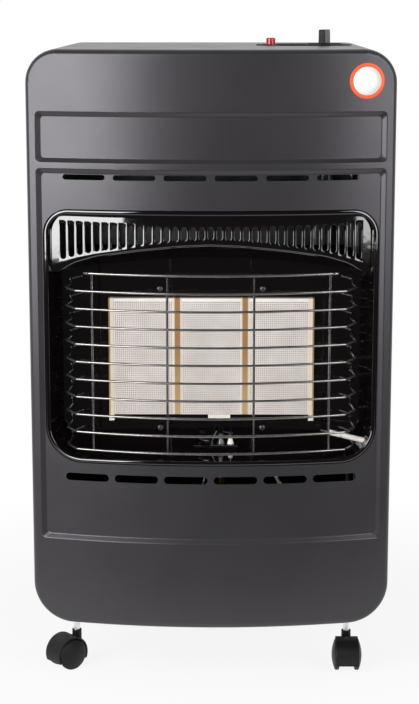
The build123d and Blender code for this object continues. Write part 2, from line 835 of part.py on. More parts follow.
# ---- Reflector pan and hood --------------------------------------------------------------------
def pan_section(y, grow):
    """Section of the tapering pan across Y, grown by a sheet thickness."""
    taper = (pan_front_half_width - pan_back_half_width) / (pan_back - edge_y)
    half = pan_back_half_width + taper * (pan_back - y)
    outline = panel_outline(half + grow, pan_floor - grow, pan_ceiling + grow,
                            pan_top_radius + grow, pan_bottom_radius + grow)
    return Plane.XZ.offset(-y) * outline


def pan_form(grow):
    """Tapering tub behind the opening, as a solid."""
    return loft([pan_section(front_y - 2, grow), pan_section(pan_back, grow)])


def guard_end_holes(radius):
    """Rods along the turned-back ends of the guard bars, where they enter the back of the pan."""
    rods = []
    for i in range(1, guard_bar_count):
        height_at = guard_top_bar - i * guard_bar_pitch
        for side in (-1, 1):
            corner = (side * guard_corner_x, edge_y + guard_corner_setback, height_at)
            end = (side * guard_end_x, pan_back + guard_end_pass, height_at)
            rods.append(cylinder_between(corner, end, radius))
    return rods


def burner_screw_places():
    """X and Z of the four screws that hold the burner to the pan."""
    return [(x, z) for z in (plaque_bottom - burner_screw_bottom_drop, plaque_top + burner_screw_top_rise)
            for x in (-burner_screw_x, burner_screw_x)]


def reflector_pan():
    """Black enamelled pan: rim bead, side walls, floor and the back panel with its window."""
    walls = (pan_form(enamel_sheet) - pan_form(0)) & behind_bow(panel_recess + rim_setback + 1)
    walls -= block(-half_width, half_width, front_y - 1, pan_back, pan_seam, body_top)
    back = slab(panel_outline(pan_back_half_width + enamel_sheet, pan_floor - enamel_sheet,
                              pan_back_top, pan_top_radius, pan_bottom_radius + enamel_sheet),
                pan_back, pan_back + enamel_sheet)
    ring = opening_outline(rim_gap) - opening_outline(rim_gap + rim_width)
    rim = slab(ring, front_y, edge_y + rim_depth * 3)
    rim = rim & bow_layer(panel_recess + rim_setback, panel_recess + rim_setback + rim_depth)
    front_face = rim.faces().filter_by(GeomType.CYLINDER).sort_by(SortBy.AREA)[-1]
    rim = fillet(front_face.edges(), rim_bead_radius)
    window = block(-burner_half_width - window_gap, burner_half_width + window_gap,
                   pan_back - 1, pan_back + 2 * enamel_sheet,
                   plaque_bottom - edge_strip_drop - window_gap, plaque_top + window_gap)
    pan = walls + back + rim
    pan -= window
    pan -= guard_end_holes(wire_radius + guard_hole_gap)
    pan -= ignition_rod(ignition_rod_radius + ignition_hole_gap)
    pan -= [cylinder_between((x, pan_back - 1, z), (x, pan_back + 2 * enamel_sheet, z),
                             screw_shank_radius + screw_hole_gap) for x, z in burner_screw_places()]
    return pan


def hood_face_y(x):
    """Y of the hood's concave face at X."""
    return hood_axis_y + math.sqrt(hood_radius ** 2 - x ** 2)


def hood_cylinder(grow):
    """Upright cylinder whose back side is the concave face of the hood."""
    return Pos(0, hood_axis_y, body_top / 2) * Cylinder(hood_radius + grow, body_top)


def hood_form(grow):
    """Space under the hood as a solid, with broad blends at its top and side corners."""
    form = pan_form(grow) & hood_cylinder(grow)
    form -= block(-half_width, half_width, front_y - 9, back_y, 0, hood_lip_end - 20)
    face = form.faces().filter_by(GeomType.CYLINDER).sort_by(SortBy.AREA)[-1]
    blends = [e for e in face.edges() if e.center().Z > hood_lip_end - 19]
    return fillet(blends, hood_blend_radius + grow)


def below_lip(lift):
    """Everything under the arched lip, raised by lift."""
    reach = half_width
    end_low = arch(reach, hood_half_span, hood_lip_end, hood_lip_mid) + lift
    curve = ThreePointArc((-reach, end_low), (0, hood_lip_mid + lift), (reach, end_low))
    sides = Polyline((reach, end_low), (reach, skirt_bottom), (-reach, skirt_bottom), (-reach, end_low))
    return slab(make_face(curve + sides), front_y - 9, back_y)


def hood_core(grow):
    """Everything behind the hood's face and over its lip, set in by grow, with the lip's bend."""
    core = block(-half_width, half_width, front_y, back_y, hood_lip_end - 15, body_top)
    core = core - hood_form(grow) - below_lip(grow)
    lip = core.faces().sort_by(Axis.Z)[0]
    inside = [e for e in lip.edges() if abs(e.center().X) < pan_front_half_width and e.center().Y < pan_back]
    bend = [e for e in inside if e.center().Y > edge_y - hood_lip_bend]
    return fillet(bend, hood_lip_bend - grow)


def hood_slot(x):
    """Upright slot with a flared mouth, square to the hood's face at X, and longer towards the ends."""
    low = opening_top - arch(x, hood_slot_last, hood_slot_bottom_end_drop, hood_slot_bottom_mid_drop)
    high = opening_top - arch(x, hood_slot_last, hood_slot_top_end_drop, hood_slot_top_mid_drop)
    y = hood_face_y(x)
    mouth = Plane(origin=(x, y, (low + high) / 2), x_dir=(0, 0, 1), z_dir=(x, y - hood_axis_y, 0))
    flare = (hood_slot_width - hood_slot_through) / 2
    wide = SlotOverall(high - low + 2 * hood_slot_lead, hood_slot_width + 2 * hood_slot_lead)
    narrow = SlotOverall(high - low - 2 * flare, hood_slot_through)
    through = extrude(mouth.offset(-hood_slot_lead) * narrow, amount=hood_slot_reach)
    return loft([mouth.offset(-hood_slot_lead) * wide, mouth.offset(flare) * narrow]) + through


def slotted_hood():
    """Black enamelled hood over the burner: concave, its lip bent back, with a row of convection slots."""
    seam = pan_seam + seam_clearance
    middle = block(-hood_lip_bend_span, hood_lip_bend_span, front_y - 1, pan_back - 1, seam, body_top)
    bent = (hood_core(0) - hood_core(enamel_sheet)) & hood_form(hood_lip_return) & middle
    ends = hood_form(enamel_sheet) - hood_form(0) - below_lip(0) - middle
    ends -= block(-half_width, half_width, front_y - 1, back_y, 0, seam)
    shell = (bent + ends) & behind_bow(panel_recess + rim_setback + rim_depth + 0.3)
    steps = range(-(hood_slot_count // 2), hood_slot_count // 2 + 1)
    return shell - [hood_slot(i * hood_slot_pitch) for i in steps]


# ---- Wire guard --------------------------------------------------------------------------------
def guard_bar_y(x):
    """Y of a guard bar's centre line at X."""
    return guard_centre_y - math.sqrt(guard_bow_radius ** 2 - x ** 2)


def guard_bar(height_at):
    """One cross bar: bowed front, turned back at both ends into the pan."""
    bend_y = guard_bar_y(guard_bend_x)
    corner_y = edge_y + guard_corner_setback
    end_y = pan_back + guard_end_pass
    right = [(guard_bend_x, bend_y), (guard_corner_x, corner_y), (guard_end_x, end_y)]
    left = [(-x, y) for x, y in reversed(right)]
    path = Wire([*Polyline(*left).edges(),
                 *ThreePointArc(left[-1], (0, guard_bar_y(0)), right[0]).edges(),
                 *Polyline(*right).edges()])
    inner = [v for v in path.vertices() if abs(abs(v.X) - guard_end_x) > 0.5]
    path = path.fillet_2d(guard_bend_radius, inner)
    start = Plane(origin=path @ 0, z_dir=path % 0)
    return Pos(0, 0, height_at) * sweep(start * Circle(wire_radius), path=path)


def guard_bars():
    """Short top bar and the full cross bars below it."""
    tip = guard_top_bar_half_length
    arc = ThreePointArc((-tip, guard_bar_y(tip)), (0, guard_bar_y(0)), (tip, guard_bar_y(tip)))
    top_bar = sweep(Plane(origin=arc @ 0, z_dir=arc % 0) * Circle(wire_radius), path=arc)
    bars = [Pos(0, 0, guard_top_bar) * top_bar]
    bars += [guard_bar(guard_top_bar - i * guard_bar_pitch) for i in range(1, guard_bar_count)]
    return group(bars)


def guard_upright_y(x):
    """Y of an upright's centre line, one wire behind the cross bars along the bow's normal."""
    slant = guard_bow_radius / math.sqrt(guard_bow_radius ** 2 - x ** 2)
    return guard_bar_y(x) + (2 * wire_radius + weld_gap) * slant


def guard_uprights():
    """Upright wires welded behind the cross bars."""
    low = guard_top_bar - (guard_bar_count - 1) * guard_bar_pitch - wire_radius
    high = guard_top_bar + wire_radius
    return group(upright_cylinder(x, guard_upright_y(x), low, high, wire_radius)
                 for x in guard_upright_positions)


# ---- Burner ------------------------------------------------------------------------------------
def plaque(index):
    """Ceramic plaque with a plain border round its perforated field; index -1, 0 or 1."""
    x = index * (plaque_width + divider_strip_width)
    plate = block(x - plaque_width / 2, x + plaque_width / 2, plaque_front,
                  plaque_front + plaque_thickness, plaque_bottom, plaque_top)
    field = block(x - plaque_width / 2 + plaque_margin, x + plaque_width / 2 - plaque_margin,
                  plaque_front - 1, plaque_front + plaque_field_depth,
                  plaque_bottom + plaque_margin, plaque_top - plaque_margin)
    return plate - field


def divider_strips():
    """Fibre strips between the plaques."""
    offset = (plaque_width + divider_strip_width) / 2
    return group(block(x - divider_strip_width / 2, x + divider_strip_width / 2,
                       plaque_front - strip_proud, plaque_front + plaque_thickness,
                       plaque_bottom, plaque_top) for x in (-offset, offset))


def edge_gaskets():
    """Fibre gaskets at both ends of the plaque row, longer at the foot."""
    inner = burner_half_width - edge_strip_width
    return group(block(*sorted((side * inner, side * burner_half_width)),
                       plaque_front - strip_proud, plaque_front + plaque_thickness,
                       plaque_bottom - edge_strip_drop, plaque_top) for side in (-1, 1))


def retainer_front():
    """Y of the front of the strip that keeps the plaques' lower edge."""
    return plaque_front - strip_proud - retainer_thickness


def plaque_retainer():
    """Bent strip that keeps the plaques' lower edge."""
    inner = burner_half_width - edge_strip_width
    front = retainer_front()
    face = block(-inner, inner, front, front + retainer_thickness,
                 plaque_bottom - retainer_height + 1, plaque_bottom + 1)
    shelf = block(-inner, inner, front, plaque_front + plaque_thickness,
                  plaque_bottom - retainer_thickness, plaque_bottom)
    return face + shelf


def fibre_pads():
    """White fibre pads: one on the middle of the retainer, and one at the foot of each end gasket."""
    front = retainer_front()
    pads = [block(pad_left, pad_right, front - pad_thickness, front,
                  plaque_bottom - pad_drop, plaque_bottom + 1)]
    inner = burner_half_width - edge_strip_width
    back = plaque_front - strip_proud
    for side in (-1, 1):
        ends = sorted((side * inner, side * burner_half_width))
        pads.append(block(*ends, back - pad_thickness, back, plaque_bottom - edge_strip_drop, plaque_bottom))
    return group(pads)


def burner_plenum():
    """Pressed box behind the plaques, with a screw flange."""
    low = plaque_bottom - edge_strip_drop
    high = plaque_top
    middle = (low + high) / 2
    half = burner_half_width + window_gap
    tall = high - low + 2 * window_gap
    outer = Rectangle(2 * (half + burner_wall), tall + 2 * burner_wall)
    outer_back = Rectangle(2 * (half + burner_wall - burner_draft), tall + 2 * (burner_wall - burner_draft))
    front_plane = Plane.XZ.offset(-burner_front)
    back_plane = Plane.XZ.offset(-burner_back)
    box = loft([front_plane * (Pos(0, middle) * fillet(outer.vertices(), 8)),
                back_plane * (Pos(0, middle) * fillet(outer_back.vertices(), 8))])
    flange_half = half + burner_wall + burner_flange_margin
    flange = block(-flange_half, flange_half, burner_front, burner_front + burner_sheet,
                   middle - burner_flange_height / 2, middle + burner_flange_height / 2)
    pocket_back = plaque_front + plaque_thickness
    pocket = block(-half, half, burner_front - 1, pocket_back + fit_gap, middle - tall / 2, middle + tall / 2)
    gas_half = half - burner_draft - 2
    gas_space = block(-gas_half, gas_half, pocket_back - 1, burner_back - burner_wall,
                      middle - tall / 2 + burner_draft + 2, middle + tall / 2 - burner_draft - 2)
    plenum = box + flange - pocket - gas_space
    return plenum - [cylinder_between((x, burner_front - 1, z), (x, burner_front + 2 * burner_sheet, z),
                                      screw_shank_radius + screw_hole_gap) for x, z in burner_screw_places()]


def burner_screws():
    """Four pan-head screws through the pan and the burner flange."""
    screws = []
    for x, z in burner_screw_places():
        head = cylinder_between((x, pan_back - screw_head_height, z), (x, pan_back, z), screw_head_radius)
        head = fillet(head.faces().sort_by(Axis.Y)[0].edges(), screw_head_height / 2)
        tip = (x, burner_front + 4 * burner_sheet, z)
        shank = cylinder_between((x, pan_back, z), tip, screw_shank_radius)
        screws.append(head + shank)
    return group(screws)


def mixing_tube_heights():
    """Heights of the three mixing tubes."""
    return [plaque_centre_z + i * mixing_tube_pitch for i in (-1, 0, 1)]


def mixing_tube_y():
    """Y of the mixing tubes' centre line, behind the plenum."""
    return burner_back + mixing_tube_standoff


def mixing_tubes():
    """Three mixing tubes: open bell at the injector, elbow into the plenum at the other end."""
    tubes = []
    y = mixing_tube_y()
    length = mixing_bell_length
    bell_start = mixing_tube_right - length
    wall = mixing_tube_wall
    inner = mixing_tube_radius - wall
    for height_at in mixing_tube_heights():
        bend = [(bell_start, y, height_at), (mixing_tube_left, y, height_at),
                (mixing_tube_left, burner_back, height_at)]
        tube = bent_tube(bend, mixing_tube_radius, mixing_tube_bend)
        plane = Plane(origin=(bell_start + length / 2, y, height_at), z_dir=(1, 0, 0))
        tube += plane * Cone(mixing_tube_radius, mixing_bell_radius, length)
        tube -= plane * Cone(inner, mixing_bell_radius - wall, length)
        tube -= cylinder_between((bell_start - length, y, height_at), (bell_start, y, height_at), inner)
        tubes.append(tube)
    return group(tubes)


def injector_bar_left():
    """Left face of the injector bar."""
    return mixing_tube_right + injector_gap + injector_length


def injector_bar():
    """Bar that carries the three injectors and takes the three supply pipes."""
    left = injector_bar_left()
    y = mixing_tube_y()
    heights = mixing_tube_heights()
    bar = block(left, left + injector_bar_width, y - injector_bar_depth / 2, y + injector_bar_depth / 2,
                heights[0] - injector_bar_margin, heights[-1] + injector_bar_margin)
    return chamfer(bar.edges().filter_by(Axis.Z), 1.5)


def injector_bracket():
    """Bent bracket from the burner flange back to the injector bar."""
    x = injector_bar_left() + injector_bar_width / 2
    inner = x - bracket_foot
    flange_back = burner_front + burner_sheet
    bar_front = mixing_tube_y() - injector_bar_depth / 2
    low = plaque_centre_z - bracket_height / 2
    high = plaque_centre_z + bracket_height / 2
    web = block(x - burner_sheet, x, flange_back, bar_front, low, high)
    foot = block(inner, x, flange_back, flange_back + burner_sheet, low, high)
    head = block(x - burner_sheet, x + bracket_foot, bar_front - burner_sheet, bar_front, low, high)
    return web + foot + head


def injectors():
    """Brass injectors facing the mixing tubes."""
    pieces = []
    left = injector_bar_left()
    y = mixing_tube_y()
    for height_at in mixing_tube_heights():
        hexagon = hexagon_prism((left, y, height_at), (left - injector_length / 2, y, height_at),
                                injector_hex_flats)
        nose = cylinder_between((left - injector_length / 2, y, height_at),
                                (left - injector_length, y, height_at), injector_nose_radius)
        pieces.append(hexagon + nose)
    return group(pieces)


def supply_pipes():
    """Three pipes from the gas valve down to the injector bar."""
    pipes = []
    y = mixing_tube_y()
    low = mixing_tube_heights()[-1] + injector_bar_margin
    middle = injector_bar_left() + injector_bar_width / 2
    valve_front = control_y - valve_depth_y / 2
    for i in (-1, 0, 1):
        x = middle + i * supply_pipe_pitch
        valve_x = knob_x + i * supply_pipe_pitch
        pipes.append(bent_tube([(x, y, low), (x, y, valve_centre_z),
                                (valve_x, valve_front - supply_pipe_end, valve_centre_z),
                                (valve_x, valve_front, valve_centre_z)],
                               supply_pipe_radius, pipe_bend_radius))
    return group(pipes)


# ---- Pilot and ignition ------------------------------------------------------------------------
def pilot_y():
    """Y of the pilot burner."""
    return edge_y + pilot_setback


def pilot_floor():
    """Top of the pilot bracket."""
    return pan_floor + pilot_bracket_height


def pilot_bracket():
    """Bridge on the pan floor that carries the pilot pieces."""
    left = pilot_x - pilot_bracket_left
    right = pilot_x + pilot_bracket_right
    near = pilot_y() - pilot_bracket_depth / 2
    far = pilot_y() + pilot_bracket_depth / 2
    bridge = block(left, right, near, far, pan_floor, pilot_floor())
    bridge = fillet(bridge.edges().filter_by(Axis.X).group_by(Axis.Z)[-1], 2 * pilot_bracket_sheet)
    return bridge - block(left - 1, right + 1, near + pilot_bracket_sheet, far - pilot_bracket_sheet,
                          pan_floor - 1, pilot_floor() - pilot_bracket_sheet)


def pilot_burner():
    """Flared pilot nozzle with the half bowl beside it that spreads its flame."""
    nozzle = turned([
        (0, 0), (pilot_nozzle_foot_radius, 0), (pilot_nozzle_foot_radius, 1),
        (pilot_nozzle_radius, pilot_nozzle_height / 2), (pilot_nozzle_radius, pilot_nozzle_height),
        (pilot_nozzle_bore, pilot_nozzle_height), (pilot_nozzle_bore, pilot_nozzle_height / 2),
        (0, pilot_nozzle_height / 2)])
    bowl = turned([
        (pilot_scoop_inner_radius, 0), (pilot_scoop_outer_radius, pilot_scoop_height),
        (pilot_scoop_outer_radius, pilot_scoop_height + pilot_scoop_sheet),
        (pilot_scoop_inner_radius, pilot_scoop_sheet)])
    reach = 2 * pilot_scoop_outer_radius
    scoop = bowl & block(-reach, 0, -reach, reach, -1, reach)
    foot = Pos(pilot_x, pilot_y(), pilot_floor())
    return group([foot * nozzle, foot * Pos(-pilot_scoop_offset, 0, 0) * scoop])


def thermocouple():
    """Thermocouple probe leaning towards the pilot flame, with a rounded tip."""
    low = pilot_floor()
    x = pilot_x - thermocouple_offset
    y = pilot_y()
    tip = (x + thermocouple_lean, y, low + thermocouple_height)
    sleeve = upright_cylinder(x, y, low, low + thermocouple_sleeve_height, thermocouple_sleeve_radius)
    probe = cylinder_between((x, y, low + thermocouple_sleeve_height / 2), tip, thermocouple_radius)
    return sleeve + probe + Pos(*tip) * Sphere(thermocouple_ball_radius)


def electrode_place():
    """Foot of the ceramic pilot electrode."""
    return (pilot_x + electrode_offset, pilot_y(), pilot_floor())


def pilot_electrode():
    """Ceramic pilot electrode, tapered."""
    return Pos(*electrode_place()) * turned([
        (0, 0), (electrode_foot_radius, 0), (electrode_top_radius, electrode_height), (0, electrode_height)])


def pilot_electrode_wire():
    """Spark wire of the pilot electrode, bent over the nozzle."""
    x, y, z = electrode_place()
    low = z + electrode_height
    bend = low + electrode_wire_rise
    return bent_tube([(x, y, low), (x, y, bend), (x - electrode_wire_reach, y, bend + electrode_wire_slope)],
                     electrode_wire_radius, electrode_wire_bend)


def pan_underside():
    """Height of the underside of the pan floor."""
    return pan_floor - enamel_sheet


def pilot_fitting():
    """Brass fitting under the pan that feeds the pilot."""
    y = pilot_y()
    top = pan_underside()
    neck_top = top - fitting_collar_height
    nut_top = neck_top - fitting_neck_length
    nut_foot = nut_top - fitting_nut_height
    collar = hexagon_prism((pilot_x, y, top), (pilot_x, y, neck_top), fitting_collar_flats)
    neck = cylinder_between((pilot_x, y, neck_top), (pilot_x, y, nut_top), fitting_neck_radius)
    nut = hexagon_prism((pilot_x, y, nut_top), (pilot_x, y, nut_foot), fitting_nut_flats)
    return collar + neck + nut


def pilot_pipe():
    """Thin pipe from the gas valve to the pilot fitting."""
    y = pilot_y()
    top = pan_underside() - fitting_collar_height - fitting_neck_length - fitting_nut_height
    run_z = shield_bottom - pipe_drop
    valve_side = knob_x + valve_width / 2
    rise_x = valve_side + pipe_valve_gap
    back = shield_front - pipe_shield_gap
    return bent_tube([(pilot_x, y, top), (pilot_x, y, run_z), (pilot_x, back, run_z), (rise_x, back, run_z),
                      (rise_x, back, valve_centre_z), (rise_x, control_y, valve_centre_z),
                      (valve_side, control_y, valve_centre_z)], pilot_pipe_radius, thin_pipe_bend)


def thermocouple_lead():
    """Capillary lead of the thermocouple, from under the pan floor to the valve."""
    x = pilot_x - thermocouple_offset
    y = pilot_y()
    top = pan_underside()
    run_z = shield_bottom - capillary_drop
    low_x = x - capillary_slant
    valve_side = knob_x + valve_width / 2
    rise_x = valve_side + capillary_valve_gap
    back = shield_front - capillary_shield_gap
    valve_y = control_y + capillary_offset
    valve_z = valve_centre_z + capillary_offset
    return bent_tube([(x, y, top), (x, y, top - capillary_slant_start),
                      (low_x, y, run_z), (low_x, back, run_z),
                      (rise_x, back, run_z), (rise_x, back, valve_z), (rise_x, valve_y, valve_z),
                      (valve_side, valve_y, valve_z)], thermocouple_lead_radius, thin_pipe_bend)


def pilot_lead():
    """Ignition cable from the pilot electrode, down past the lower vents and up to the igniter."""
    x, y, _ = electrode_place()
    top = pan_underside()
    bend_z = top - pilot_lead_drop
    bend_x = x + pilot_lead_reach
    run_z = shield_bottom - pilot_lead_sag
    rise_x = half_width - lead_wall_distance
    back = shield_front - pilot_lead_front_gap
    end_x = button_x - terminal_offset
    terminal = igniter_bottom - terminal_length
    return bent_tube([(x, y, top), (x, y, bend_z), (bend_x, y, bend_z), (bend_x + pilot_lead_slant, y, run_z),
                      (rise_x, y, run_z), (rise_x, back, run_z), (rise_x, back, shield_top + pilot_lead_lift),
                      (end_x, control_y, terminal - 3 * lead_straight), (end_x, control_y, terminal)],
                     lead_radius, lead_straight, lead_straight, pilot_lead_curve, lead_bend)


def ignition_length():
    """Length of the ignition electrode from its tip to the side wall of the pan."""
    return (Vector(*ignition_wall_point()) - Vector(*ignition_tip_point())).length


def ignition_tip_point():
    """Tip of the ignition electrode."""
    return (ignition_tip_x, edge_y + ignition_tip_setback, pan_floor + ignition_tip_rise)


def ignition_wall_point():
    """Where the ignition electrode's axis meets the side wall."""
    return (ignition_wall_x, edge_y + ignition_wall_setback, pan_floor + ignition_wall_rise)


def ignition_line(distance):
    """Point on the ignition electrode's axis, measured from its tip towards the side wall."""
    start = Vector(*ignition_tip_point())
    along = (Vector(*ignition_wall_point()) - start).normalized()
    return tuple(start + along * distance)


def ignition_rod(radius):
    """Plain rod along the ceramic of the ignition electrode."""
    end = ignition_length() + ignition_outer_length
    return cylinder_between(ignition_line(ignition_ceramic_start), ignition_line(end), radius)


def ignition_electrode():
    """Ceramic rod of the ignition electrode, with one groove round it."""
    groove_end = ignition_groove + ignition_groove_length
    groove = cylinder_between(ignition_line(ignition_groove), ignition_line(groove_end),
                              2 * ignition_rod_radius)
    core = cylinder_between(ignition_line(ignition_groove), ignition_line(groove_end),
                            ignition_rod_radius - ignition_groove_depth)
    return ignition_rod(ignition_rod_radius) - groove + core


def ignition_tip():
    """Metal tip of the ignition electrode."""
    start = ignition_ceramic_start
    ferrule = cylinder_between(ignition_line(start - 4), ignition_line(start), 2.2)
    wire = cylinder_between(ignition_line(0), ignition_line(start - 4), 1.1)
    return ferrule + wire


# ---- Heat shield and controls ------------------------------------------------------------------
def heat_shield():
    """Ribbed sheet between the burner and the cylinder compartment."""
    half = half_width - wrap_sheet - fit_gap
    back = shield_front + shield_sheet
    plate = block(-half, half, shield_front, back, shield_bottom, shield_top)
    sides = [block(min(s * half, s * (half - shield_sheet)), max(s * half, s * (half - shield_sheet)),
                   shield_front - shield_flange, back, shield_bottom, shield_top) for s in (-1, 1)]
    foot = block(-half, half, shield_front, back + shield_flange, shield_bottom, shield_bottom + shield_sheet)
    shield = plate + sides + foot
    pitch = 2 * half / (shield_rib_count + 1)
    for i in range(shield_rib_count):
        x = -half + (i + 1) * pitch
        low = shield_bottom + 3 * shield_rib_width
        high = shield_top - 3 * shield_rib_width
        rib = slab(Pos(x, (low + high) / 2) * SlotOverall(high - low, shield_rib_width, rotation=90),
                   back, back + shield_rib_depth)
        hollow = slab(Pos(x, (low + high) / 2) * SlotOverall(high - low - 2 * shield_sheet,
                      shield_rib_width - 2 * shield_sheet, rotation=90),
                      shield_front, back + shield_rib_depth - shield_sheet)
        shield = shield + rib - hollow
    return shield


def control_bezel():
    """Moulded tray in the top for the knob and the igniter button."""
    flange = Pos(0, 0, body_top) * extrude(bezel_outline(0), bezel_rise)
    flange = fillet(flange.faces().sort_by(Axis.Z)[-1].edges(), bezel_rise / 2)
    well = Pos(0, 0, bezel_floor - bezel_wall) * extrude(bezel_outline(-bezel_flange - fit_gap),
                                                         bezel_recess + bezel_wall)
    hollow = Pos(0, 0, bezel_floor) * extrude(bezel_outline(-bezel_flange - fit_gap - bezel_wall),
                                              bezel_recess + bezel_rise + 1)
    bezel = flange + well - hollow
    bezel -= upright_cylinder(knob_x, control_y, bezel_floor - 3, bezel_floor + 1, spindle_radius + 1)
    return bezel - upright_cylinder(button_x, control_y, bezel_floor - 3, bezel_floor + 1,
                                    igniter_radius + fit_gap)


def gas_valve():
    """Gas tap with its neck under the bezel."""
    low = valve_centre_z - valve_height / 2
    high = valve_centre_z + valve_height / 2
    body = block(knob_x - valve_width / 2, knob_x + valve_width / 2, control_y - valve_depth_y / 2,
                 control_y + valve_depth_y / 2, low, high)
    body = fillet(body.edges().filter_by(Axis.Z), 6)
    neck = upright_cylinder(knob_x, control_y, high, bezel_floor - bezel_wall, valve_neck_radius)
    cap = upright_cylinder(knob_x, control_y, low - 8, low, valve_neck_radius - 2)
    return body + neck + cap - upright_cylinder(knob_x, control_y, high, bezel_floor + 1,
                                                spindle_radius + running_gap)


def spindle_profile(gap):
    """D-shaped section of the valve spindle."""
    round_part = Circle(spindle_radius + gap)
    return round_part - Pos(0, spindle_flat + gap + spindle_radius) * Rectangle(4 * spindle_radius,
                                                                                2 * spindle_radius)


def valve_spindle():
    """Valve spindle: round in the valve, with a flat where the knob slides on it."""
    low = valve_centre_z + valve_height / 2 + 1
    top = bezel_floor + knob_lift + knob_skirt_height + spindle_engagement
    lower = upright_cylinder(knob_x, control_y, low, bezel_floor + 1, spindle_radius)
    upper = Pos(knob_x, control_y, bezel_floor + 1) * extrude(spindle_profile(0), top - bezel_floor - 1)
    return lower + upper


def control_knob():
    """Control knob: round skirt with a raised bar grip."""
    skirt_low = bezel_floor + knob_lift
    skirt_high = skirt_low + knob_skirt_height
    skirt = upright_cylinder(0, 0, skirt_low, skirt_high, knob_skirt_radius)
    skirt = fillet(skirt.faces().sort_by(Axis.Z)[-1].edges(), knob_edge_radius)
    grip = fillet(Rectangle(knob_grip_width, knob_grip_length).vertices(), knob_grip_corner)
    bar = Pos(0, 0, skirt_high - 1) * Rot(0, 0, knob_grip_turn) * extrude(
        grip, body_top + knob_stand - skirt_high + 1, taper=1)
    bar = fillet(bar.faces().sort_by(Axis.Z)[-1].edges(), knob_edge_radius)
    bore_top = skirt_high + spindle_engagement + knob_travel + 1
    bore = Pos(0, 0, skirt_low - 1) * extrude(spindle_profile(running_gap), bore_top - skirt_low + 1)
    return Pos(knob_x, control_y, 0) * (skirt + bar - bore)


def gas_inlet_union():
    """Threaded inlet stub for the gas hose, plain here."""
    y = control_y + valve_depth_y / 2
    hexagon = hexagon_prism((knob_x, y, valve_centre_z), (knob_x, y + inlet_hex_length, valve_centre_z),
                            inlet_hex_flats)
    stub = cylinder_between((knob_x, y + inlet_hex_length, valve_centre_z),
                            (knob_x, y + inlet_hex_length + inlet_length, valve_centre_z), inlet_radius)
    bore = cylinder_between((knob_x, y + 2, valve_centre_z),
                            (knob_x, y + inlet_hex_length + inlet_length + 1, valve_centre_z), inlet_bore)
    return hexagon + stub - bore


def igniter_body():
    """Piezo igniter barrel with its collar on the bezel floor."""
    barrel = upright_cylinder(button_x, control_y, igniter_bottom, bezel_floor, igniter_radius)
    collar = upright_cylinder(button_x, control_y, bezel_floor, bezel_floor + 3, igniter_collar_radius)
    collar = fillet(collar.faces().sort_by(Axis.Z)[-1].edges(), 1)
    terminals = [upright_cylinder(button_x + side * terminal_offset, control_y,
                                  igniter_bottom - terminal_length, igniter_bottom, terminal_radius)
                 for side in (-1, 1)]
    bore = upright_cylinder(button_x, control_y, bezel_floor - button_travel - 1, bezel_floor + 4,
                            button_radius + 0.08)
    return barrel + collar + terminals - bore


def igniter_nut():
    """Ring nut that clamps the igniter under the bezel."""
    high = bezel_floor - bezel_wall
    nut = upright_cylinder(button_x, control_y, high - 5, high, igniter_collar_radius)
    return nut - upright_cylinder(button_x, control_y, high - 6, high + 1, igniter_radius + fit_gap)


def igniter_button():
    """Push button of the igniter."""
    button = upright_cylinder(button_x, control_y, bezel_floor, body_top + button_stand, button_radius)
    return fillet(button.faces().sort_by(Axis.Z)[-1].edges(), 1.2)


def ignition_lead():
    """Ignition cable from the electrode's outer end over the heat shield to the igniter."""
    end = ignition_length() + ignition_outer_length
    start = ignition_line(end)
    rise_x = half_width - lead_wall_distance
    front = shield_front - ignition_lead_front_gap
    end_x = button_x + terminal_offset
    terminal = igniter_bottom - terminal_length
    return bent_tube([start, ignition_line(end + lead_straight),
                      (rise_x, front, start[2] + 4 * lead_wall_distance),
                      (rise_x, front, shield_top + ignition_lead_lift),
                      (end_x, control_y, terminal - 2 * lead_straight),
                      (end_x, control_y, terminal)], lead_radius, lead_bend)


# ---- Output ------------------------------------------------------------------------------------
def build():
    """Every sub-part by name."""
    parts = {
        "front_fascia": front_fascia(),
        "cabinet_wrap": cabinet_wrap(),
        "base_tray": base_tray(),
        "rear_cover": rear_cover(),
        "caster_cups": caster_cups(),
        "caster_stems": caster_stems(),
        "caster_nuts": caster_nuts(),
        "reflector_pan": reflector_pan(),
        "slotted_hood": slotted_hood(),
        "guard_bars": guard_bars(),
        "guard_uprights": guard_uprights(),
        "plaque_left": plaque(-1),
        "plaque_centre": plaque(0),
        "plaque_right": plaque(1),
        "divider_strips": divider_strips(),
        "edge_gaskets": edge_gaskets(),
        "plaque_retainer": plaque_retainer(),
        "fibre_pads": fibre_pads(),
        "burner_plenum": burner_plenum(),
        "burner_screws": burner_screws(),
        "mixing_tubes": mixing_tubes(),
        "injector_bar": injector_bar(),
        "injector_bracket": injector_bracket(),
        "injectors": injectors(),
        "supply_pipes": supply_pipes(),
        "pilot_bracket": pilot_bracket(),
        "pilot_burner": pilot_burner(),
        "thermocouple": thermocouple(),
        "pilot_electrode": pilot_electrode(),
        "pilot_electrode_wire": pilot_electrode_wire(),
        "pilot_fitting": pilot_fitting(),
        "pilot_pipe": pilot_pipe(),
        "thermocouple_lead": thermocouple_lead(),
        "pilot_lead": pilot_lead(),
        "ignition_electrode": ignition_electrode(),
        "ignition_tip": ignition_tip(),
        "ignition_lead": ignition_lead(),
        "heat_shield": heat_shield(),
        "control_bezel": control_bezel(),
        "gas_valve": gas_valve(),
        "gas_inlet_union": gas_inlet_union(),
        "valve_spindle": valve_spindle(),
        "control_knob": control_knob(),
        "igniter_body": igniter_body(),
        "igniter_nut": igniter_nut(),
        "igniter_button": igniter_button(),
    }
    for place in caster_places:
        parts[f"{place}_caster_hood"] = caster_hood(place)
        parts[f"{place}_caster_wheels"] = caster_wheels(place)
        parts[f"{place}_caster_axle"] = caster_axle(place)
    return parts


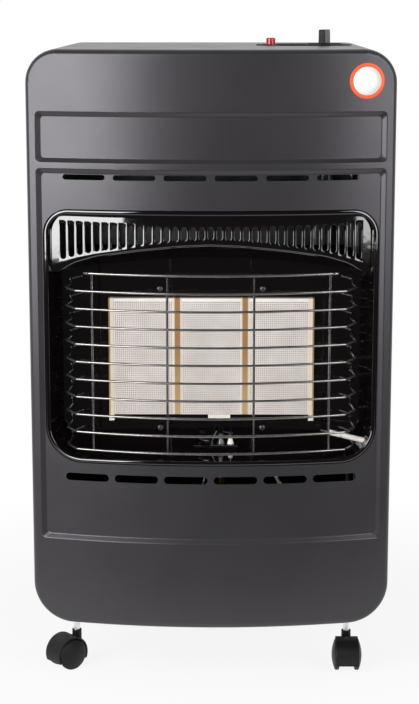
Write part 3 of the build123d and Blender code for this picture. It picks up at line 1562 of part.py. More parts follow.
os.makedirs("parts", exist_ok=True)
for name, shape in build().items():
    export_step(shape, f"parts/{name}.step")
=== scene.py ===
"""Portable gas cabinet heater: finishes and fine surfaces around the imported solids.

Lengths in the code are millimetres until the last step, which turns them into metres.
"""

import json
import math

import bpy
import numpy as np
from mathutils import Matrix, Vector


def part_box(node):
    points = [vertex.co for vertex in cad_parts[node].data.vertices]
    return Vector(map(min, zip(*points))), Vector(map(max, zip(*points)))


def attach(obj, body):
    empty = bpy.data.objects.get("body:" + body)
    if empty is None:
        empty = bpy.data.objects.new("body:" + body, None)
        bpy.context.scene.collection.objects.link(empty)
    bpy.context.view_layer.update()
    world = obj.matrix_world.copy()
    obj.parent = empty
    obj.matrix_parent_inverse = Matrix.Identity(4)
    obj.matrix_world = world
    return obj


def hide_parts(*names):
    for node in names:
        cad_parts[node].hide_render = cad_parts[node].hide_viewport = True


bl_info = {
    "name": "Gas Cabinet Heater Finishes",
    "version": (1, 0, 0),
    "blender": (4, 5, 0),
    "location": "View3D > Sidebar > Heater",
    "description": "Builds the finishes, wires, plaques and controls of a cabinet heater",
    "category": "Object",
}

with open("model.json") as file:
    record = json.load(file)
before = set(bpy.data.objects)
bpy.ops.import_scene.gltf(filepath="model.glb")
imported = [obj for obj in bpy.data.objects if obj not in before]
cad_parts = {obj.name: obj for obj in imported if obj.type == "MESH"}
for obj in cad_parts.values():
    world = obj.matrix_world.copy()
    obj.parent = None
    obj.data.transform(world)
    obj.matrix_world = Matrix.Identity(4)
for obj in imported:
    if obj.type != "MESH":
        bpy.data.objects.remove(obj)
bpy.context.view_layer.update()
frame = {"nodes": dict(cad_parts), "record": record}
MM = 0.001
TAU = 2 * math.pi

# The fascia's bow, as the solids have it: BOW_RISE deep over the cabinet's half width.
HALF_WIDTH = 210.0
BOW_RISE = 32.0
FRONT_Y = -200.0
BOW_RADIUS = (HALF_WIDTH ** 2 + BOW_RISE ** 2) / (2 * BOW_RISE)
BOW_AXIS_Y = FRONT_Y + BOW_RADIUS
EDGE_Y = FRONT_Y + BOW_RISE
CASTERS = ("front_left", "front_right", "rear_left", "rear_right")

# The opening in the fascia: an upright rectangle with round corners.
OPENING_HALF_WIDTH = 192.5
OPENING_FOOT, OPENING_TOP = 277.0, 573.5
OPENING_FOOT_CORNER, OPENING_TOP_CORNER = 42.0, 30.0

# The wire guard: bowed bars, of which all but the top one turn back into the pan at both ends.
GUARD_BARS = 11
GUARD_HALF_SPAN = 157.0
GUARD_TOP_HALF_SPAN = 146.5
GUARD_RISE = 26.4
GUARD_RADIUS = (GUARD_HALF_SPAN ** 2 + GUARD_RISE ** 2) / (2 * GUARD_RISE)
GUARD_FRONT_Y = EDGE_Y - 24.0
GUARD_TURN = (169.5, EDGE_Y + 26.0, 0)
GUARD_END = (166.0, EDGE_Y + 64.0, 0)
GUARD_BEND = 5.0
GUARD_UPRIGHT_X = (-137.3, -49.7, 49.7, 137.3)
GUARD_WELD_GAP = 0.05

# The hood: a bowed plate close behind the fascia, with a slot to each HOOD_PITCH of arc. Its walls
# come forward to HOOD_FRONT_ROOM behind the fascia's face.
HOOD_SETBACK = 11.2
HOOD_RADIUS = BOW_RADIUS - HOOD_SETBACK
HOOD_SLOTS = 35
HOOD_PITCH = 10.08
HOOD_CEILING = 568.8
HOOD_HALF_WIDTH = 186.9
HOOD_CORNER = 20.0
HOOD_BLEND = 3.0
HOOD_INNER = HOOD_CORNER - HOOD_BLEND
HOOD_SIDE_X = HOOD_HALF_WIDTH - HOOD_CORNER
HOOD_FRONT_ROOM = 6.0

# A slot stands in a tile of its own, which reaches this far past the slot's ends.
TILE_BELOW = 1.6
TILE_ABOVE = 3.0
TILE_STEP = 0.2

# The hood's flange: bent back at the lip, and down to an arched edge on the pan's back panel.
FLANGE_BEND = 5.0
FLANGE_END_X = 174.0
FLANGE_FADE = 7.0
FLANGE_NARROWING = 0.05
FLANGE_BACK_Y = -109.0
FLANGE_BACK_Z = 508.9
FLANGE_ARCH_HALF_SPAN = 165.0
FLANGE_ARCH = 12.3

# Small parts.
PLAQUE_SIDE, PLAQUE_TOP = 1.2, 3.6
HOLE_MOUTH, HOLE_MOUTH_DEPTH, HOLE_TAPER = 1.12, 0.12, 0.94
SCREW_X, SCREW_HEIGHTS, SCREW_Y = 61.0, (302.5, 471.0), EDGE_Y + 60.0
SHANK_RADIUS, SHANK_LENGTH = 2.0, 7.0
STICKER_PLACE = (175.5, 717.8)
STICKER_RADIUS, STICKER_WHITE_RADIUS, STICKER_BACK = 20.0, 16.0, 0.02


# ---- Colours and material nodes ----

def linear(code):
    """An sRGB hex colour as linear RGBA."""
    srgb = np.array([int(code[i:i + 2], 16) for i in (1, 3, 5)]) / 255
    rgb = np.where(srgb <= 0.04045, srgb / 12.92, ((srgb + 0.055) / 1.055) ** 2.4)
    return (*rgb.tolist(), 1.0)


def node(tree, kind, settings=None, **inputs):
    """Adds a node with its properties, and sets or links its inputs (_ stands for a space).

    A node given as an input is linked by its first output."""
    made = tree.nodes.new(kind)
    for key, value in (settings or {}).items():
        setattr(made, key, value)
    for key, value in inputs.items():
        index = int(key[1:]) if key[1:].isdigit() else key.replace("_", " ")
        socket = made.inputs[index]
        if isinstance(value, bpy.types.Node):
            value = value.outputs[0]
        if isinstance(value, bpy.types.NodeSocket):
            tree.links.new(value, socket)
        else:
            socket.default_value = value
    return made


def empty_tree(owner):
    """The node tree of a material or world, with nothing in it."""
    owner.use_nodes = True
    owner.node_tree.nodes.clear()
    return owner.node_tree


class Finish:
    """A material with a Principled shader, Object coordinates and helpers for its patterns."""

    def __init__(self, name, colour, roughness, metallic=0.0, **sockets):
        self.material = bpy.data.materials.new(name)
        self.tree = empty_tree(self.material)
        self.colour = linear(colour)
        self.roughness = roughness
        self.shader = node(self.tree, "ShaderNodeBsdfPrincipled", Base_Color=self.colour,
                           Roughness=roughness, Metallic=metallic, **sockets)
        node(self.tree, "ShaderNodeOutputMaterial", Surface=self.shader)
        self.place = node(self.tree, "ShaderNodeTexCoord").outputs["Object"]
        self.normal = None

    def noise(self, size, detail=2.0, rough=0.5, stretch=(1, 1, 1)):
        """Noise whose lumps are about size millimetres across, stretched along an axis if asked."""
        scale = tuple(1 / (size * MM * s) for s in stretch)
        mapped = node(self.tree, "ShaderNodeMapping", Vector=self.place, Scale=scale)
        return node(self.tree, "ShaderNodeTexNoise", Vector=mapped, Scale=1.0, Detail=detail,
                    Roughness=rough).outputs["Fac"]

    def tint(self, value, code, amount, low=0.0, high=1.0):
        """Mixes the base colour by amount towards another as value goes from low to high."""
        factor = node(self.tree, "ShaderNodeMapRange", Value=value, From_Min=low, From_Max=high,
                      To_Max=amount)
        base = self.shader.inputs["Base Color"]
        start = base.links[0].from_socket if base.links else self.colour
        mixed = node(self.tree, "ShaderNodeMix", {"data_type": "RGBA"}, _0=factor, _6=start,
                     _7=linear(code))
        self.tree.links.new(mixed.outputs[2], base)

    def rough(self, value, swing):
        """Roughness that varies by swing either side of its middle value."""
        varied = node(self.tree, "ShaderNodeMapRange", Value=value, From_Min=0.3, From_Max=0.7,
                      To_Min=self.roughness - swing, To_Max=self.roughness + swing)
        self.tree.links.new(varied.outputs[0], self.shader.inputs["Roughness"])

    def bump(self, height, depth, strength=1.0):
        """Relief of depth millimetres on top of any relief already there."""
        settings = {} if self.normal is None else {"Normal": self.normal}
        self.normal = node(self.tree, "ShaderNodeBump", Height=height, Distance=depth * MM,
                           Strength=strength, **settings).outputs[0]
        self.tree.links.new(self.normal, self.shader.inputs["Normal"])


def mottled(name, colour, roughness, tints=(), gloss=None, reliefs=(), **sockets):
    """A finish whose patterns are noise alone.

    A tint is size in mm, detail, colour, amount and the noise values where it starts and is full;
    gloss is size, detail and roughness either side; a relief is size, detail, depth, strength."""
    finish = Finish(name, colour, roughness, **sockets)
    for size, detail, code, amount, *span in tints:
        finish.tint(finish.noise(size, detail), code, amount, *span)
    if gloss:
        finish.rough(finish.noise(*gloss[:2]), gloss[2])
    for size, detail, depth, strength in reliefs:
        finish.bump(finish.noise(size, detail), depth, strength)
    return finish.material


def plaque_ceramic():
    """Porous cordierite plaque: chalky, warm white, with faint clouds and grit, and painted shade
    in its holes.

    The face stands 116 mm before the middle of the heater; what lies deeper is a hole's wall,
    darkened as painted shade."""
    body = Finish("cordierite_plaque", "#f0e8e3", 0.92, IOR=1.45)
    body.tint(body.noise(22, 3), "#dad1ca", 0.6, 0.35, 0.7)
    body.tint(body.noise(0.8, 2), "#c9bbb0", 0.3, 0.5, 0.8)
    depth = node(body.tree, "ShaderNodeSeparateXYZ", Vector=body.place).outputs[1]
    # Painted shade: deeper than the face, the holes' walls are darkened to stand in for the shadow
    # inside them.
    body.tint(depth, "#7a6e64", 0.6, -0.1159, -0.1148)
    body.bump(body.noise(0.6, 3), 0.05, 0.6)
    return body.material


def fibre_strip():
    """Compressed ceramic fibre: tan where it has been hot, cream where it is clamped, felted, matt.

    The two strips between the plaques, 40.15 mm out, are cream beyond 3.3 mm from their middle. The
    gaskets at the ends are cream up to 120 mm out and tan beyond. Both pale towards their foot."""
    strip = Finish("ceramic_fibre_strip", "#97734b", 0.95)
    axes = node(strip.tree, "ShaderNodeSeparateXYZ", Vector=strip.place).outputs
    across = node(strip.tree, "ShaderNodeMath", {"operation": "ABSOLUTE"}, _0=axes[0])
    off = node(strip.tree, "ShaderNodeMath", {"operation": "SUBTRACT"}, _0=across, _1=40.15 * MM)
    off = node(strip.tree, "ShaderNodeMath", {"operation": "ABSOLUTE"}, _0=off)
    strip.tint(strip.noise(1.2, 4, 0.6, (1, 1, 6)), "#7f6340", 0.4)
    strip.tint(axes[2], "#bda980", 0.7, 0.40, 0.32)
    edge = node(strip.tree, "ShaderNodeMapRange", Value=off, From_Min=2.9 * MM,
                From_Max=3.7 * MM)
    inner = node(strip.tree, "ShaderNodeMapRange", Value=across, From_Min=119.6 * MM,
                 From_Max=120.4 * MM, To_Min=1.0, To_Max=0.0)
    clamped = node(strip.tree, "ShaderNodeMath", {"operation": "MULTIPLY"}, _0=edge, _1=inner)
    strip.tint(clamped, "#e2d8c6", 0.9)
    strip.bump(strip.noise(0.8, 4, 0.6, (1, 1, 5)), 0.12, 0.7)
    return strip.material


def fibre_pad():
    """Loose white ceramic fibre under the burner's edge: soft, bright, matt, woolly."""
    pad = Finish("white_ceramic_fibre", "#e9e4da", 0.97)
    pad.tint(pad.noise(1.0, 4, 0.6, (4, 1, 1)), "#c8bfae", 0.5)
    pad.bump(pad.noise(0.7, 4), 0.1, 0.7)
    return pad.material


def galvanised_sheet():
    """Hot-dip galvanised steel: crystals of zinc about 12 mm across, dull silver."""
    sheet = Finish("galvanised_sheet", "#8b8e91", 0.42, metallic=0.9)
    crystals = node(sheet.tree, "ShaderNodeTexVoronoi", Vector=sheet.place, Scale=1 / (12 * MM))
    grey = node(sheet.tree, "ShaderNodeSeparateColor", Color=crystals.outputs["Color"]).outputs[0]
    sheet.tint(grey, "#6a6d70", 0.55)
    sheet.rough(grey, 0.1)
    return sheet.material


def zinc_plate():
    """Zinc plating on turned and pressed steel: satin grey where the burner's heat has dulled it,
    bright below 100 mm, on the casters' stems."""
    plate = Finish("zinc_plated_steel", "#6f7174", 0.38, metallic=1.0)
    plate.tint(plate.noise(5, 3), "#505255", 0.4)
    height = node(plate.tree, "ShaderNodeSeparateXYZ", Vector=plate.place).outputs[2]
    plate.tint(height, "#f2f0f0", 0.95, 0.12, 0.10)
    plate.rough(plate.noise(2, 3), 0.08)
    return plate.material


MATERIALS = {}


def make_materials():
    """Every finish of the heater, by the record's material slot."""
    MATERIALS.update({
        # Polyester powder coat on steel, graphite with metallic flake: satin, faint orange peel.
        "graphite_paint": mottled(
            "graphite_powder_coat", "#434145", 0.33, [(0.9, 3, "#565354", 0.3, 0.45, 0.75)],
            (60, 2, 0.02), [(2.2, 2, 0.02, 0.3), (0.5, 1, 0.008, 0.35)], metallic=0.6),
        # The cabinet's own powder coat: satin black-brown, the same fine orange peel.
        "black_paint": mottled(
            "black_powder_coat", "#353231", 0.36, [(0.9, 3, "#454140", 0.3, 0.45, 0.75)],
            (70, 2, 0.03), [(2.2, 2, 0.02, 0.35)], metallic=0.4),
        # Fired black enamel: glassy, deep black, its surface in slow waves that bend reflections.
        "black_enamel": mottled(
            "black_vitreous_enamel", "#080406", 0.055, (), (40, 2, 0.015),
            [(14, 1, 0.16, 0.35), (3.5, 1, 0.02, 0.25)], IOR=1.9),
        # Nickel-chrome plated steel wire: near mirror, cloudy where heat has dulled it.
        "guard_chrome": mottled(
            "bright_plated_wire", "#989593", 0.22, [(25, 2, "#75706d", 0.5, 0.4, 0.7)],
            (6, 3, 0.05), metallic=0.88),
        "plaque_ceramic": plaque_ceramic(),
        "fibre_gasket": fibre_strip(),
        "zinc_steel": zinc_plate(),
        "shield_steel": galvanised_sheet(),
        # Machined brass: warm yellow with light tarnish.
        "brass": mottled("machined_brass", "#c8a151", 0.28, [(6, 3, "#8f6d33", 0.45, 0.4, 0.75)],
                         (3, 3, 0.08), metallic=1.0),
        # Annealed aluminium tube: soft silver, slightly uneven gloss.
        "aluminium_pipe": mottled("drawn_aluminium", "#c6c8ca", 0.36, (), (3, 3, 0.08),
                                  metallic=1.0),
        "white_fibre": fibre_pad(),
        # Steatite insulator with a clear glaze: white, glossy.
        "electrode_ceramic": mottled(
            "glazed_steatite", "#f1ece4", 0.14, [(8, 2, "#ddd3c6", 0.4)], IOR=1.5,
            Coat_Weight=0.4, Coat_Roughness=0.06),
        # Silicone rubber sheath of the ignition cable: white, soft sheen.
        "lead_silicone": mottled("silicone_sheath", "#dcdad6", 0.55, [(12, 2, "#bfbcb6", 0.4)]),
        # Moulded ABS and nylon: spark-eroded texture, black, slightly uneven gloss.
        "black_plastic": mottled(
            "black_abs", "#131213", 0.4, [(18, 2, "#1d1b1c", 0.5, 0.35, 0.7)], (9, 2, 0.04),
            [(0.45, 2, 0.03, 0.5)], IOR=1.34),
        "caster_nylon": mottled(
            "black_nylon", "#0c0c0d", 0.48, [(18, 2, "#141415", 0.5, 0.35, 0.7)], (9, 2, 0.04),
            [(0.6, 2, 0.03, 0.5)], IOR=1.34),
        # Glossy red ABS with a little depth under its surface.
        "red_plastic": mottled(
            "red_abs", "#c4161c", 0.16, [(5, 2, "#a01217", 0.3)], IOR=1.49, Coat_Weight=0.3,
            Coat_Roughness=0.05),
        # Vinyl film with a satin overlaminate: even colour, soft sheen.
        "sticker_white": mottled(
            "white_vinyl", "#e9e7e4", 0.34, [(9, 2, "#dedad6", 0.3)], IOR=1.46),
        "sticker_rim": mottled(
            "orange_vinyl", "#ee5a2c", 0.34, [(9, 2, "#e0461c", 0.3)], IOR=1.46),
    })


# ---- Mesh building ----

def spread(*axes):
    """Coordinates as points, with each number or array spread over the others."""
    return np.stack(np.broadcast_arrays(*axes), -1)


def unit(vectors):
    """Vectors brought to length one."""
    return vectors / np.maximum(np.linalg.norm(vectors, axis=-1, keepdims=True), 1e-12)


def circle(sides):
    """Cosines and sines at even steps round the circle."""
    angle = np.linspace(0, TAU, sides, endpoint=False)
    return np.cos(angle), np.sin(angle)


def bow_y(x, radius=BOW_RADIUS):
    """Y at X on the fascia's bow, axis - sqrt(r² - x²), or on another radius round its axis."""
    return BOW_AXIS_Y - np.sqrt(radius ** 2 - x ** 2)


def grid_faces(rows, columns, close_rows=False, close_columns=False):
    """Quads of a rows by columns grid of points, joined round where closed."""
    row = np.arange(rows if close_rows else rows - 1)[:, None]
    column = np.arange(columns if close_columns else columns - 1)[None, :]
    next_row = (row + 1) % rows
    next_column = (column + 1) % columns
    here, above = row * columns, next_row * columns
    return np.stack([here + column, here + next_column, above + next_column, above + column],
                    -1).reshape(-1, 4)


def merged(points, faces, size=0.0005):
    """Points that share a place become one; faces that fall onto a line are dropped."""
    keys = np.round(points / size).astype(np.int64)
    _, first, which = np.unique(keys, axis=0, return_index=True, return_inverse=True)
    faces = which.reshape(-1)[faces]
    ring = np.sort(faces, axis=1)
    return points[first], faces[(ring[:, 1:] != ring[:, :-1]).sum(1) >= 2]


def repeated(points, faces):
    """One tile's faces for each row of a stack of tiles' points."""
    starts = np.arange(len(points)) * points.shape[1]
    return points.reshape(-1, 3), (faces[None] + starts[:, None, None]).reshape(-1, 4)


def lofted(points, close_rows=False, inward=False, size=0.0005):
    """Rows of closed rings as one shell: quads between neighbours, turned round if inward."""
    faces = grid_faces(*points.shape[:2], close_rows, True)
    return merged(points.reshape(-1, 3), faces[:, ::-1] if inward else faces, size)


def combine(shells):
    """Several (points, faces) shells as one, with their faces renumbered."""
    starts = np.cumsum([0] + [len(points) for points, _ in shells[:-1]])
    return (np.concatenate([points for points, _ in shells]),
            np.concatenate([faces + start for (_, faces), start in zip(shells, starts)]))


def clean(face):
    """A face without its repeated corners."""
    return [corner for i, corner in enumerate(face) if corner != face[i - 1]]


def add_object(name, data):
    """A new object at the origin, linked to the scene."""
    made = bpy.data.objects.new(name, data)
    bpy.context.scene.collection.objects.link(made)
    return made


def make_piece(name, shell, slot, stands_for=(), body="cabinet", material=None, sharp=None):
    """Puts a shell into Blender in metres, smooth shaded, and rides it on its CAD body."""
    points, faces = shell
    faces = [clean(face) for face in faces.tolist()]
    mesh = bpy.data.meshes.new(name)
    mesh.from_pydata((points * MM).tolist(), [], [face for face in faces if len(face) > 2])
    mesh.polygons.foreach_set("use_smooth", np.ones(len(mesh.polygons), bool))
    if sharp:
        mesh.set_sharp_from_angle(angle=math.radians(sharp))
    mesh.materials.append(MATERIALS[material or slot])
    piece = add_object(name, mesh)
    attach(piece, body)
    if stands_for:
        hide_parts(*stands_for)
    return piece


def revolved(profile, sides=48):
    """Profile of (radius, height) carried round Z: (r cos a, r sin a, h) for a round the circle."""
    profile = np.asarray(profile, float)
    cos, sin = circle(sides)
    radius, height = profile[:, :1], profile[:, 1:]
    return lofted(spread(radius * cos, radius * sin, height))


def swept(path, radius, sides=12):
    """Circle carried along a path: path + r (cos a · side + sin a · lift), with rounded-in ends."""
    path = np.asarray(path, float)
    tangent = unit(np.gradient(path, axis=0))
    steep = abs(tangent[:, 2]).max() > 0.3
    side = unit(np.cross(tangent, (0.23, 0.41, 0.88) if steep else (0, 0, 1.0)))
    lift = np.cross(side, tangent)
    cos, sin = (wave[None, :, None] for wave in circle(sides))
    last = len(path) - 1
    rows = np.concatenate([[0, 0, 0], np.arange(len(path)), [last, last, last]])
    scale = np.concatenate([[0, 0.8, 1], np.ones(len(path)), [1, 0.8, 0]])[:, None, None]
    push = np.zeros((len(rows), 1))
    push[2], push[-3] = 0.25, -0.25
    centre = path[rows] + tangent[rows] * push * radius
    ring = cos * side[rows][:, None] + sin * lift[rows][:, None]
    return lofted(centre[:, None] + radius * scale * ring, inward=True)


def rounded(corners, bend, steps=7):
    """Path through corners with each one replaced by a tangent arc of radius bend.

    The arc of a corner is centre + bend (cos t · away + sin t · along), sampled evenly."""
    corners = np.asarray(corners, float)
    out = [corners[:1]]
    for before, corner, after in zip(corners, corners[1:], corners[2:]):
        back, onward = unit(before - corner), unit(after - corner)
        half = math.acos(np.clip(back @ onward, -1, 1)) / 2
        middle, along = unit(back + onward), unit(onward - back)
        turn = math.pi / 2 - half
        t = np.linspace(-turn, turn, steps)[:, None]
        centre = corner + middle * bend / math.sin(half)
        out.append(centre - bend * np.cos(t) * middle + bend * np.sin(t) * along)
    out.append(corners[-1:])
    return np.concatenate(out)


def placed(shell, origin, z_dir=(0, 0, 1)):
    """Shell turned so that its Z lies along z_dir, and moved to origin."""
    z_axis = unit(np.asarray(z_dir, float))
    hint = np.array((1.0, 0, 0) if abs(z_axis[0]) < 0.9 else (0, 1.0, 0))
    x_axis = unit(hint - z_axis * (hint @ z_axis))
    turn = np.stack([x_axis, np.cross(z_axis, x_axis), z_axis])
    return shell[0] @ turn + np.asarray(origin, float), shell[1]


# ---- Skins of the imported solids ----

def solid_mesh(name):
    """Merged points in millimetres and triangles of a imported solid."""
    mesh = frame["nodes"][name].data
    mesh.calc_loop_triangles()
    points = np.empty(len(mesh.vertices) * 3)
    mesh.vertices.foreach_get("co", points)
    triangles = np.empty(len(mesh.loop_triangles) * 3, np.int32)
    mesh.loop_triangles.foreach_get("vertices", triangles)
    return merged(points.reshape(-1, 3) / MM, triangles.reshape(-1, 3))


def soft_normals(points, triangles, limit):
    """Normal at each corner: the area-weighted mean of the faces round it that turn by under limit.

    Large flat faces so keep their own normal, and rounded ones shade smoothly into them."""
    cross = np.cross(points[triangles[:, 1]] - points[triangles[:, 0]],
                     points[triangles[:, 2]] - points[triangles[:, 0]])
    facing = unit(cross)
    owner = triangles.reshape(-1)
    face = np.repeat(np.arange(len(triangles)), 3)
    order = np.argsort(owner, kind="stable")
    count = np.bincount(owner, minlength=len(points))
    start = np.cumsum(count) - count
    repeats = count[owner]
    first = np.repeat(np.arange(len(owner)), repeats)
    within = np.arange(repeats.sum()) - np.repeat(np.cumsum(repeats) - repeats, repeats)
    second = order[start[owner[first]] + within]
    near = (facing[face[first]] * facing[face[second]]).sum(1) > math.cos(math.radians(limit))
    total = np.zeros((len(owner), 3))
    np.add.at(total, first[near], cross[face[second[near]]])
    return unit(total), facing[face]


def true_to_cylinder(points, triangles, normals, own, axis_y, tolerance=4.0):
    """Corners on an upright cylinder round (0, axis_y) get its own normal, (x, y - axis_y) / r."""
    place = points[triangles.reshape(-1)]
    radial = unit(spread(place[:, 0], place[:, 1] - axis_y, 0.0))
    facing = (radial * own).sum(1)
    on = np.abs(facing) > math.cos(math.radians(tolerance))
    return np.where(on[:, None], radial * np.sign(facing)[:, None], normals)


SLOTS = {part["node"]: part["material_slot"] for part in frame["record"]["subparts"]}
BODY_OF = {name: body for body, names in frame["record"]["behaviour"]["bodies"].items()
           for name in names}


def skins(names, axis_y=None, limit=32.0):
    """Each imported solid's own mesh stands for it, with smooth shading worked out per corner."""
    for name in names:
        points, triangles = solid_mesh(name)
        normals, own = soft_normals(points, triangles, limit)
        if axis_y is not None:
            normals = true_to_cylinder(points, triangles, normals, own, axis_y)
        piece = make_piece(name + "_skin", (points, triangles), SLOTS[name], [name], BODY_OF[name])
        piece.data.normals_split_custom_set(normals)


# ---- Sizes and colours a user may change ----

LENGTH = {"subtype": "DISTANCE", "unit": "LENGTH"}


class HeaterGuardSizes(bpy.types.PropertyGroup):
    """Wire guard in front of the burner."""
    wire_radius: bpy.props.FloatProperty(
        name="Wire radius", description="Radius of the guard wire", **LENGTH, default=0.0014)
    sides: bpy.props.IntProperty(
        name="Wire sides", description="Facets round the guard wire", default=14, min=6)


class HeaterHoodSizes(bpy.types.PropertyGroup):
    """Slotted hood over the burner."""
    slot_width: bpy.props.FloatProperty(
        name="Slot width", description="Width of a slot across its rolled lip", **LENGTH,
        default=0.0076)
    slot_through: bpy.props.FloatProperty(
        name="Slot opening", description="Width of a slot where it goes through", **LENGTH,
        default=0.0052)
    sheet: bpy.props.FloatProperty(
        name="Sheet", description="Thickness of the hood's sheet", **LENGTH, default=0.0012)


class HeaterPlaqueSizes(bpy.types.PropertyGroup):
    """Perforated ceramic plaques of the burner."""
    hole_radius: bpy.props.FloatProperty(
        name="Hole radius", description="Radius of a gas hole", **LENGTH, default=0.00078)
    holes_across: bpy.props.IntProperty(
        name="Holes across", description="Gas holes across one plaque", default=30, min=2)
    holes_up: bpy.props.IntProperty(
        name="Holes up", description="Gas holes up one plaque", default=60, min=2)
    hole_depth: bpy.props.FloatProperty(
        name="Hole depth", description="Modelled depth of a gas hole", **LENGTH,
        default=0.0032)


class HeaterStageSettings(bpy.types.PropertyGroup):
    """Camera, lamps and floor."""
    camera_place: bpy.props.FloatVectorProperty(
        name="Camera", description="Camera position", subtype="TRANSLATION",
        default=(0.0193, -2.2301, 0.8014))
    tilt: bpy.props.FloatProperty(
        name="Tilt", description="Camera tilt below the horizon", subtype="ANGLE",
        default=math.radians(10.84))
    pan: bpy.props.FloatProperty(
        name="Pan", description="Camera turn to the right", subtype="ANGLE",
        default=math.radians(-0.58))
    lens: bpy.props.FloatProperty(
        name="Lens", description="Focal length for a 36 mm long side", subtype="DISTANCE_CAMERA",
        default=92.68)
    floor_colour: bpy.props.FloatVectorProperty(
        name="Floor", description="Colour of the floor", subtype="COLOR", default=(0.8, 0.8, 0.8))


# ---- Pieces ----

class HEATER_OT_cabinet(bpy.types.Operator):
    """Front with exact shading on its bow, cabinet wrap, base tray and rear cover"""
    bl_idname = "heater.cabinet"
    bl_label = "Cabinet"

    def execute(self, context):
        skins(["front_fascia"], axis_y=BOW_AXIS_Y)
        skins(["cabinet_wrap", "base_tray", "rear_cover"])
        return {"FINISHED"}


def hood_slot_ends(x):
    """Heights of a slot's lower and upper end at X: lines between known heights, and a parabola."""
    at = np.abs(x)
    low = np.interp(at, (0, 35, 70, 102, 132, 152, 172, 190),
                    (539.1, 537.4, 533.7, 528.9, 524.0, 519.4, 513.8, 508.5))
    return low, 554.7 + 3.1 * (at / 172) ** 2


def hood_lip_height(x):
    """Height at which the plate starts to bend back into the flange, at X."""
    return np.interp(np.abs(x), (0, 35, 70, 102, 118.5, 135.6, 155.6, 165.7, 171.6, 174.5),
                     (536.7, 535.1, 531.4, 527.6, 525.2, 521.0, 514.6, 509.2, 503.6, 500.2))


def hood_plate_top(x):
    """Upper end of the flat plate at X: a level line with a rounded corner at each end."""
    past = np.clip(np.abs(x) - HOOD_SIDE_X, 0, HOOD_INNER)
    return HOOD_CEILING - HOOD_BLEND - HOOD_INNER + np.sqrt(HOOD_INNER ** 2 - past ** 2)


def hood_columns():
    """X of the tiles' lines, four to a slot, and of those beside the slots, closer at the corner.

    The first are R sin(arc / R) at even arcs, the others side + r sin a round the corner."""
    arc = np.linspace(-0.5, 0.5, 4 * HOOD_SLOTS + 1) * HOOD_SLOTS * HOOD_PITCH
    lines = HOOD_RADIUS * np.sin(arc / HOOD_RADIUS)
    start = math.asin((lines[-1] - HOOD_SIDE_X) / HOOD_INNER)
    return lines, HOOD_SIDE_X + HOOD_INNER * np.sin(np.linspace(start, math.pi / 2, 8)[1:])


def hood_tile_heights(x, steps=9):
    """Even heights along a tile's edge at X, from its lower corner to its upper one."""
    low, high = hood_slot_ends(x)
    low, high = low - TILE_BELOW, high + TILE_ABOVE
    return low[:, None] + (high - low)[:, None] * np.linspace(0, 1, steps)


def hood_slot_field(width, through):
    """The band with the slots: rings of a slot lead from its tile's outline down to the opening.

    A ring is a round-ended outline, middle ± w between the ends and end + w (cos a, sin a) round
    them. Its half width w shrinks and its depth grows as a rolled lip's do."""
    lines, _ = hood_columns()
    tile_x = np.stack([lines[i::4][:HOOD_SLOTS] for i in range(5)], 1)
    left, middle, right = tile_x[:, 0], tile_x[:, 2:3], tile_x[:, 4]
    rise, fall = (spread(x[:, None], hood_tile_heights(x)[:, 1:-1]) for x in (left, right))
    low, high = hood_slot_ends(tile_x)
    rings = [np.concatenate([rise, spread(tile_x, high + TILE_ABOVE), fall[:, ::-1],
                             spread(tile_x, low - TILE_BELOW)[:, ::-1]], 1)]
    low, high = hood_slot_ends(middle)
    foot, head = low + width / 2, high - width / 2
    straight = foot + (head - foot) * np.linspace(0, 1, rise.shape[1])[1:-1]
    turn = np.linspace(math.pi, 0, 7)
    lip = ((width / 2, 0.0), (width / 2 - 0.25, 0.07), (width / 2 - 0.6, 0.32),
           ((width + through) / 4 - 0.25, 0.75), (through / 2, 1.7))
    for half, _ in lip:
        across, over = half * np.cos(turn), half * np.sin(turn)
        rings.append(np.concatenate([
            spread(middle - half, straight), spread(middle + across, head + over),
            spread(middle + half, straight[:, ::-1]), spread(middle - across, foot - over)], 1))
    flat = np.stack(rings, 1)
    depth = np.array([0.0] + [depth for _, depth in lip])[None, :, None]
    points = spread(flat[..., 0], depth, flat[..., 1]).reshape(HOOD_SLOTS, -1, 3)
    return repeated(points, grid_faces(len(rings), flat.shape[2], close_columns=True))


def hood_sheet(rows):
    """Rows of (x, depth, z) points of equal length as one sheet."""
    points = np.stack(rows)
    return points.reshape(-1, 3), grid_faces(*points.shape[:2])


def hood_walls(side, top):
    """Walls from the plate's outer edge: a quarter round, then straight forward behind the fascia.

    Row t is edge + blend sin t · out, at depth -blend (1 - cos t); out leads off the corner."""
    left = side * (-1, 1, 1)
    edge = np.concatenate([side[-1], side[::-1, -1][1:], top[::-1][1:], left[1:, -1],
                           left[-1, ::-1][1:]])[:, ::2]
    out = np.clip(np.abs(edge) - (HOOD_SIDE_X, HOOD_CEILING - HOOD_CORNER), 0, None)
    out = unit(out) * np.sign(edge)
    rows = []
    for t in np.linspace(0, math.pi / 2, 6):
        place = edge + out * HOOD_BLEND * math.sin(t)
        rows.append(spread(place[:, 0], -HOOD_BLEND * (1 - math.cos(t)), place[:, 1]))
    rows.append(rows[-1].copy())
    rows[-1][:, 1] = HOOD_FRONT_ROOM - HOOD_SETBACK
    return hood_sheet(rows)


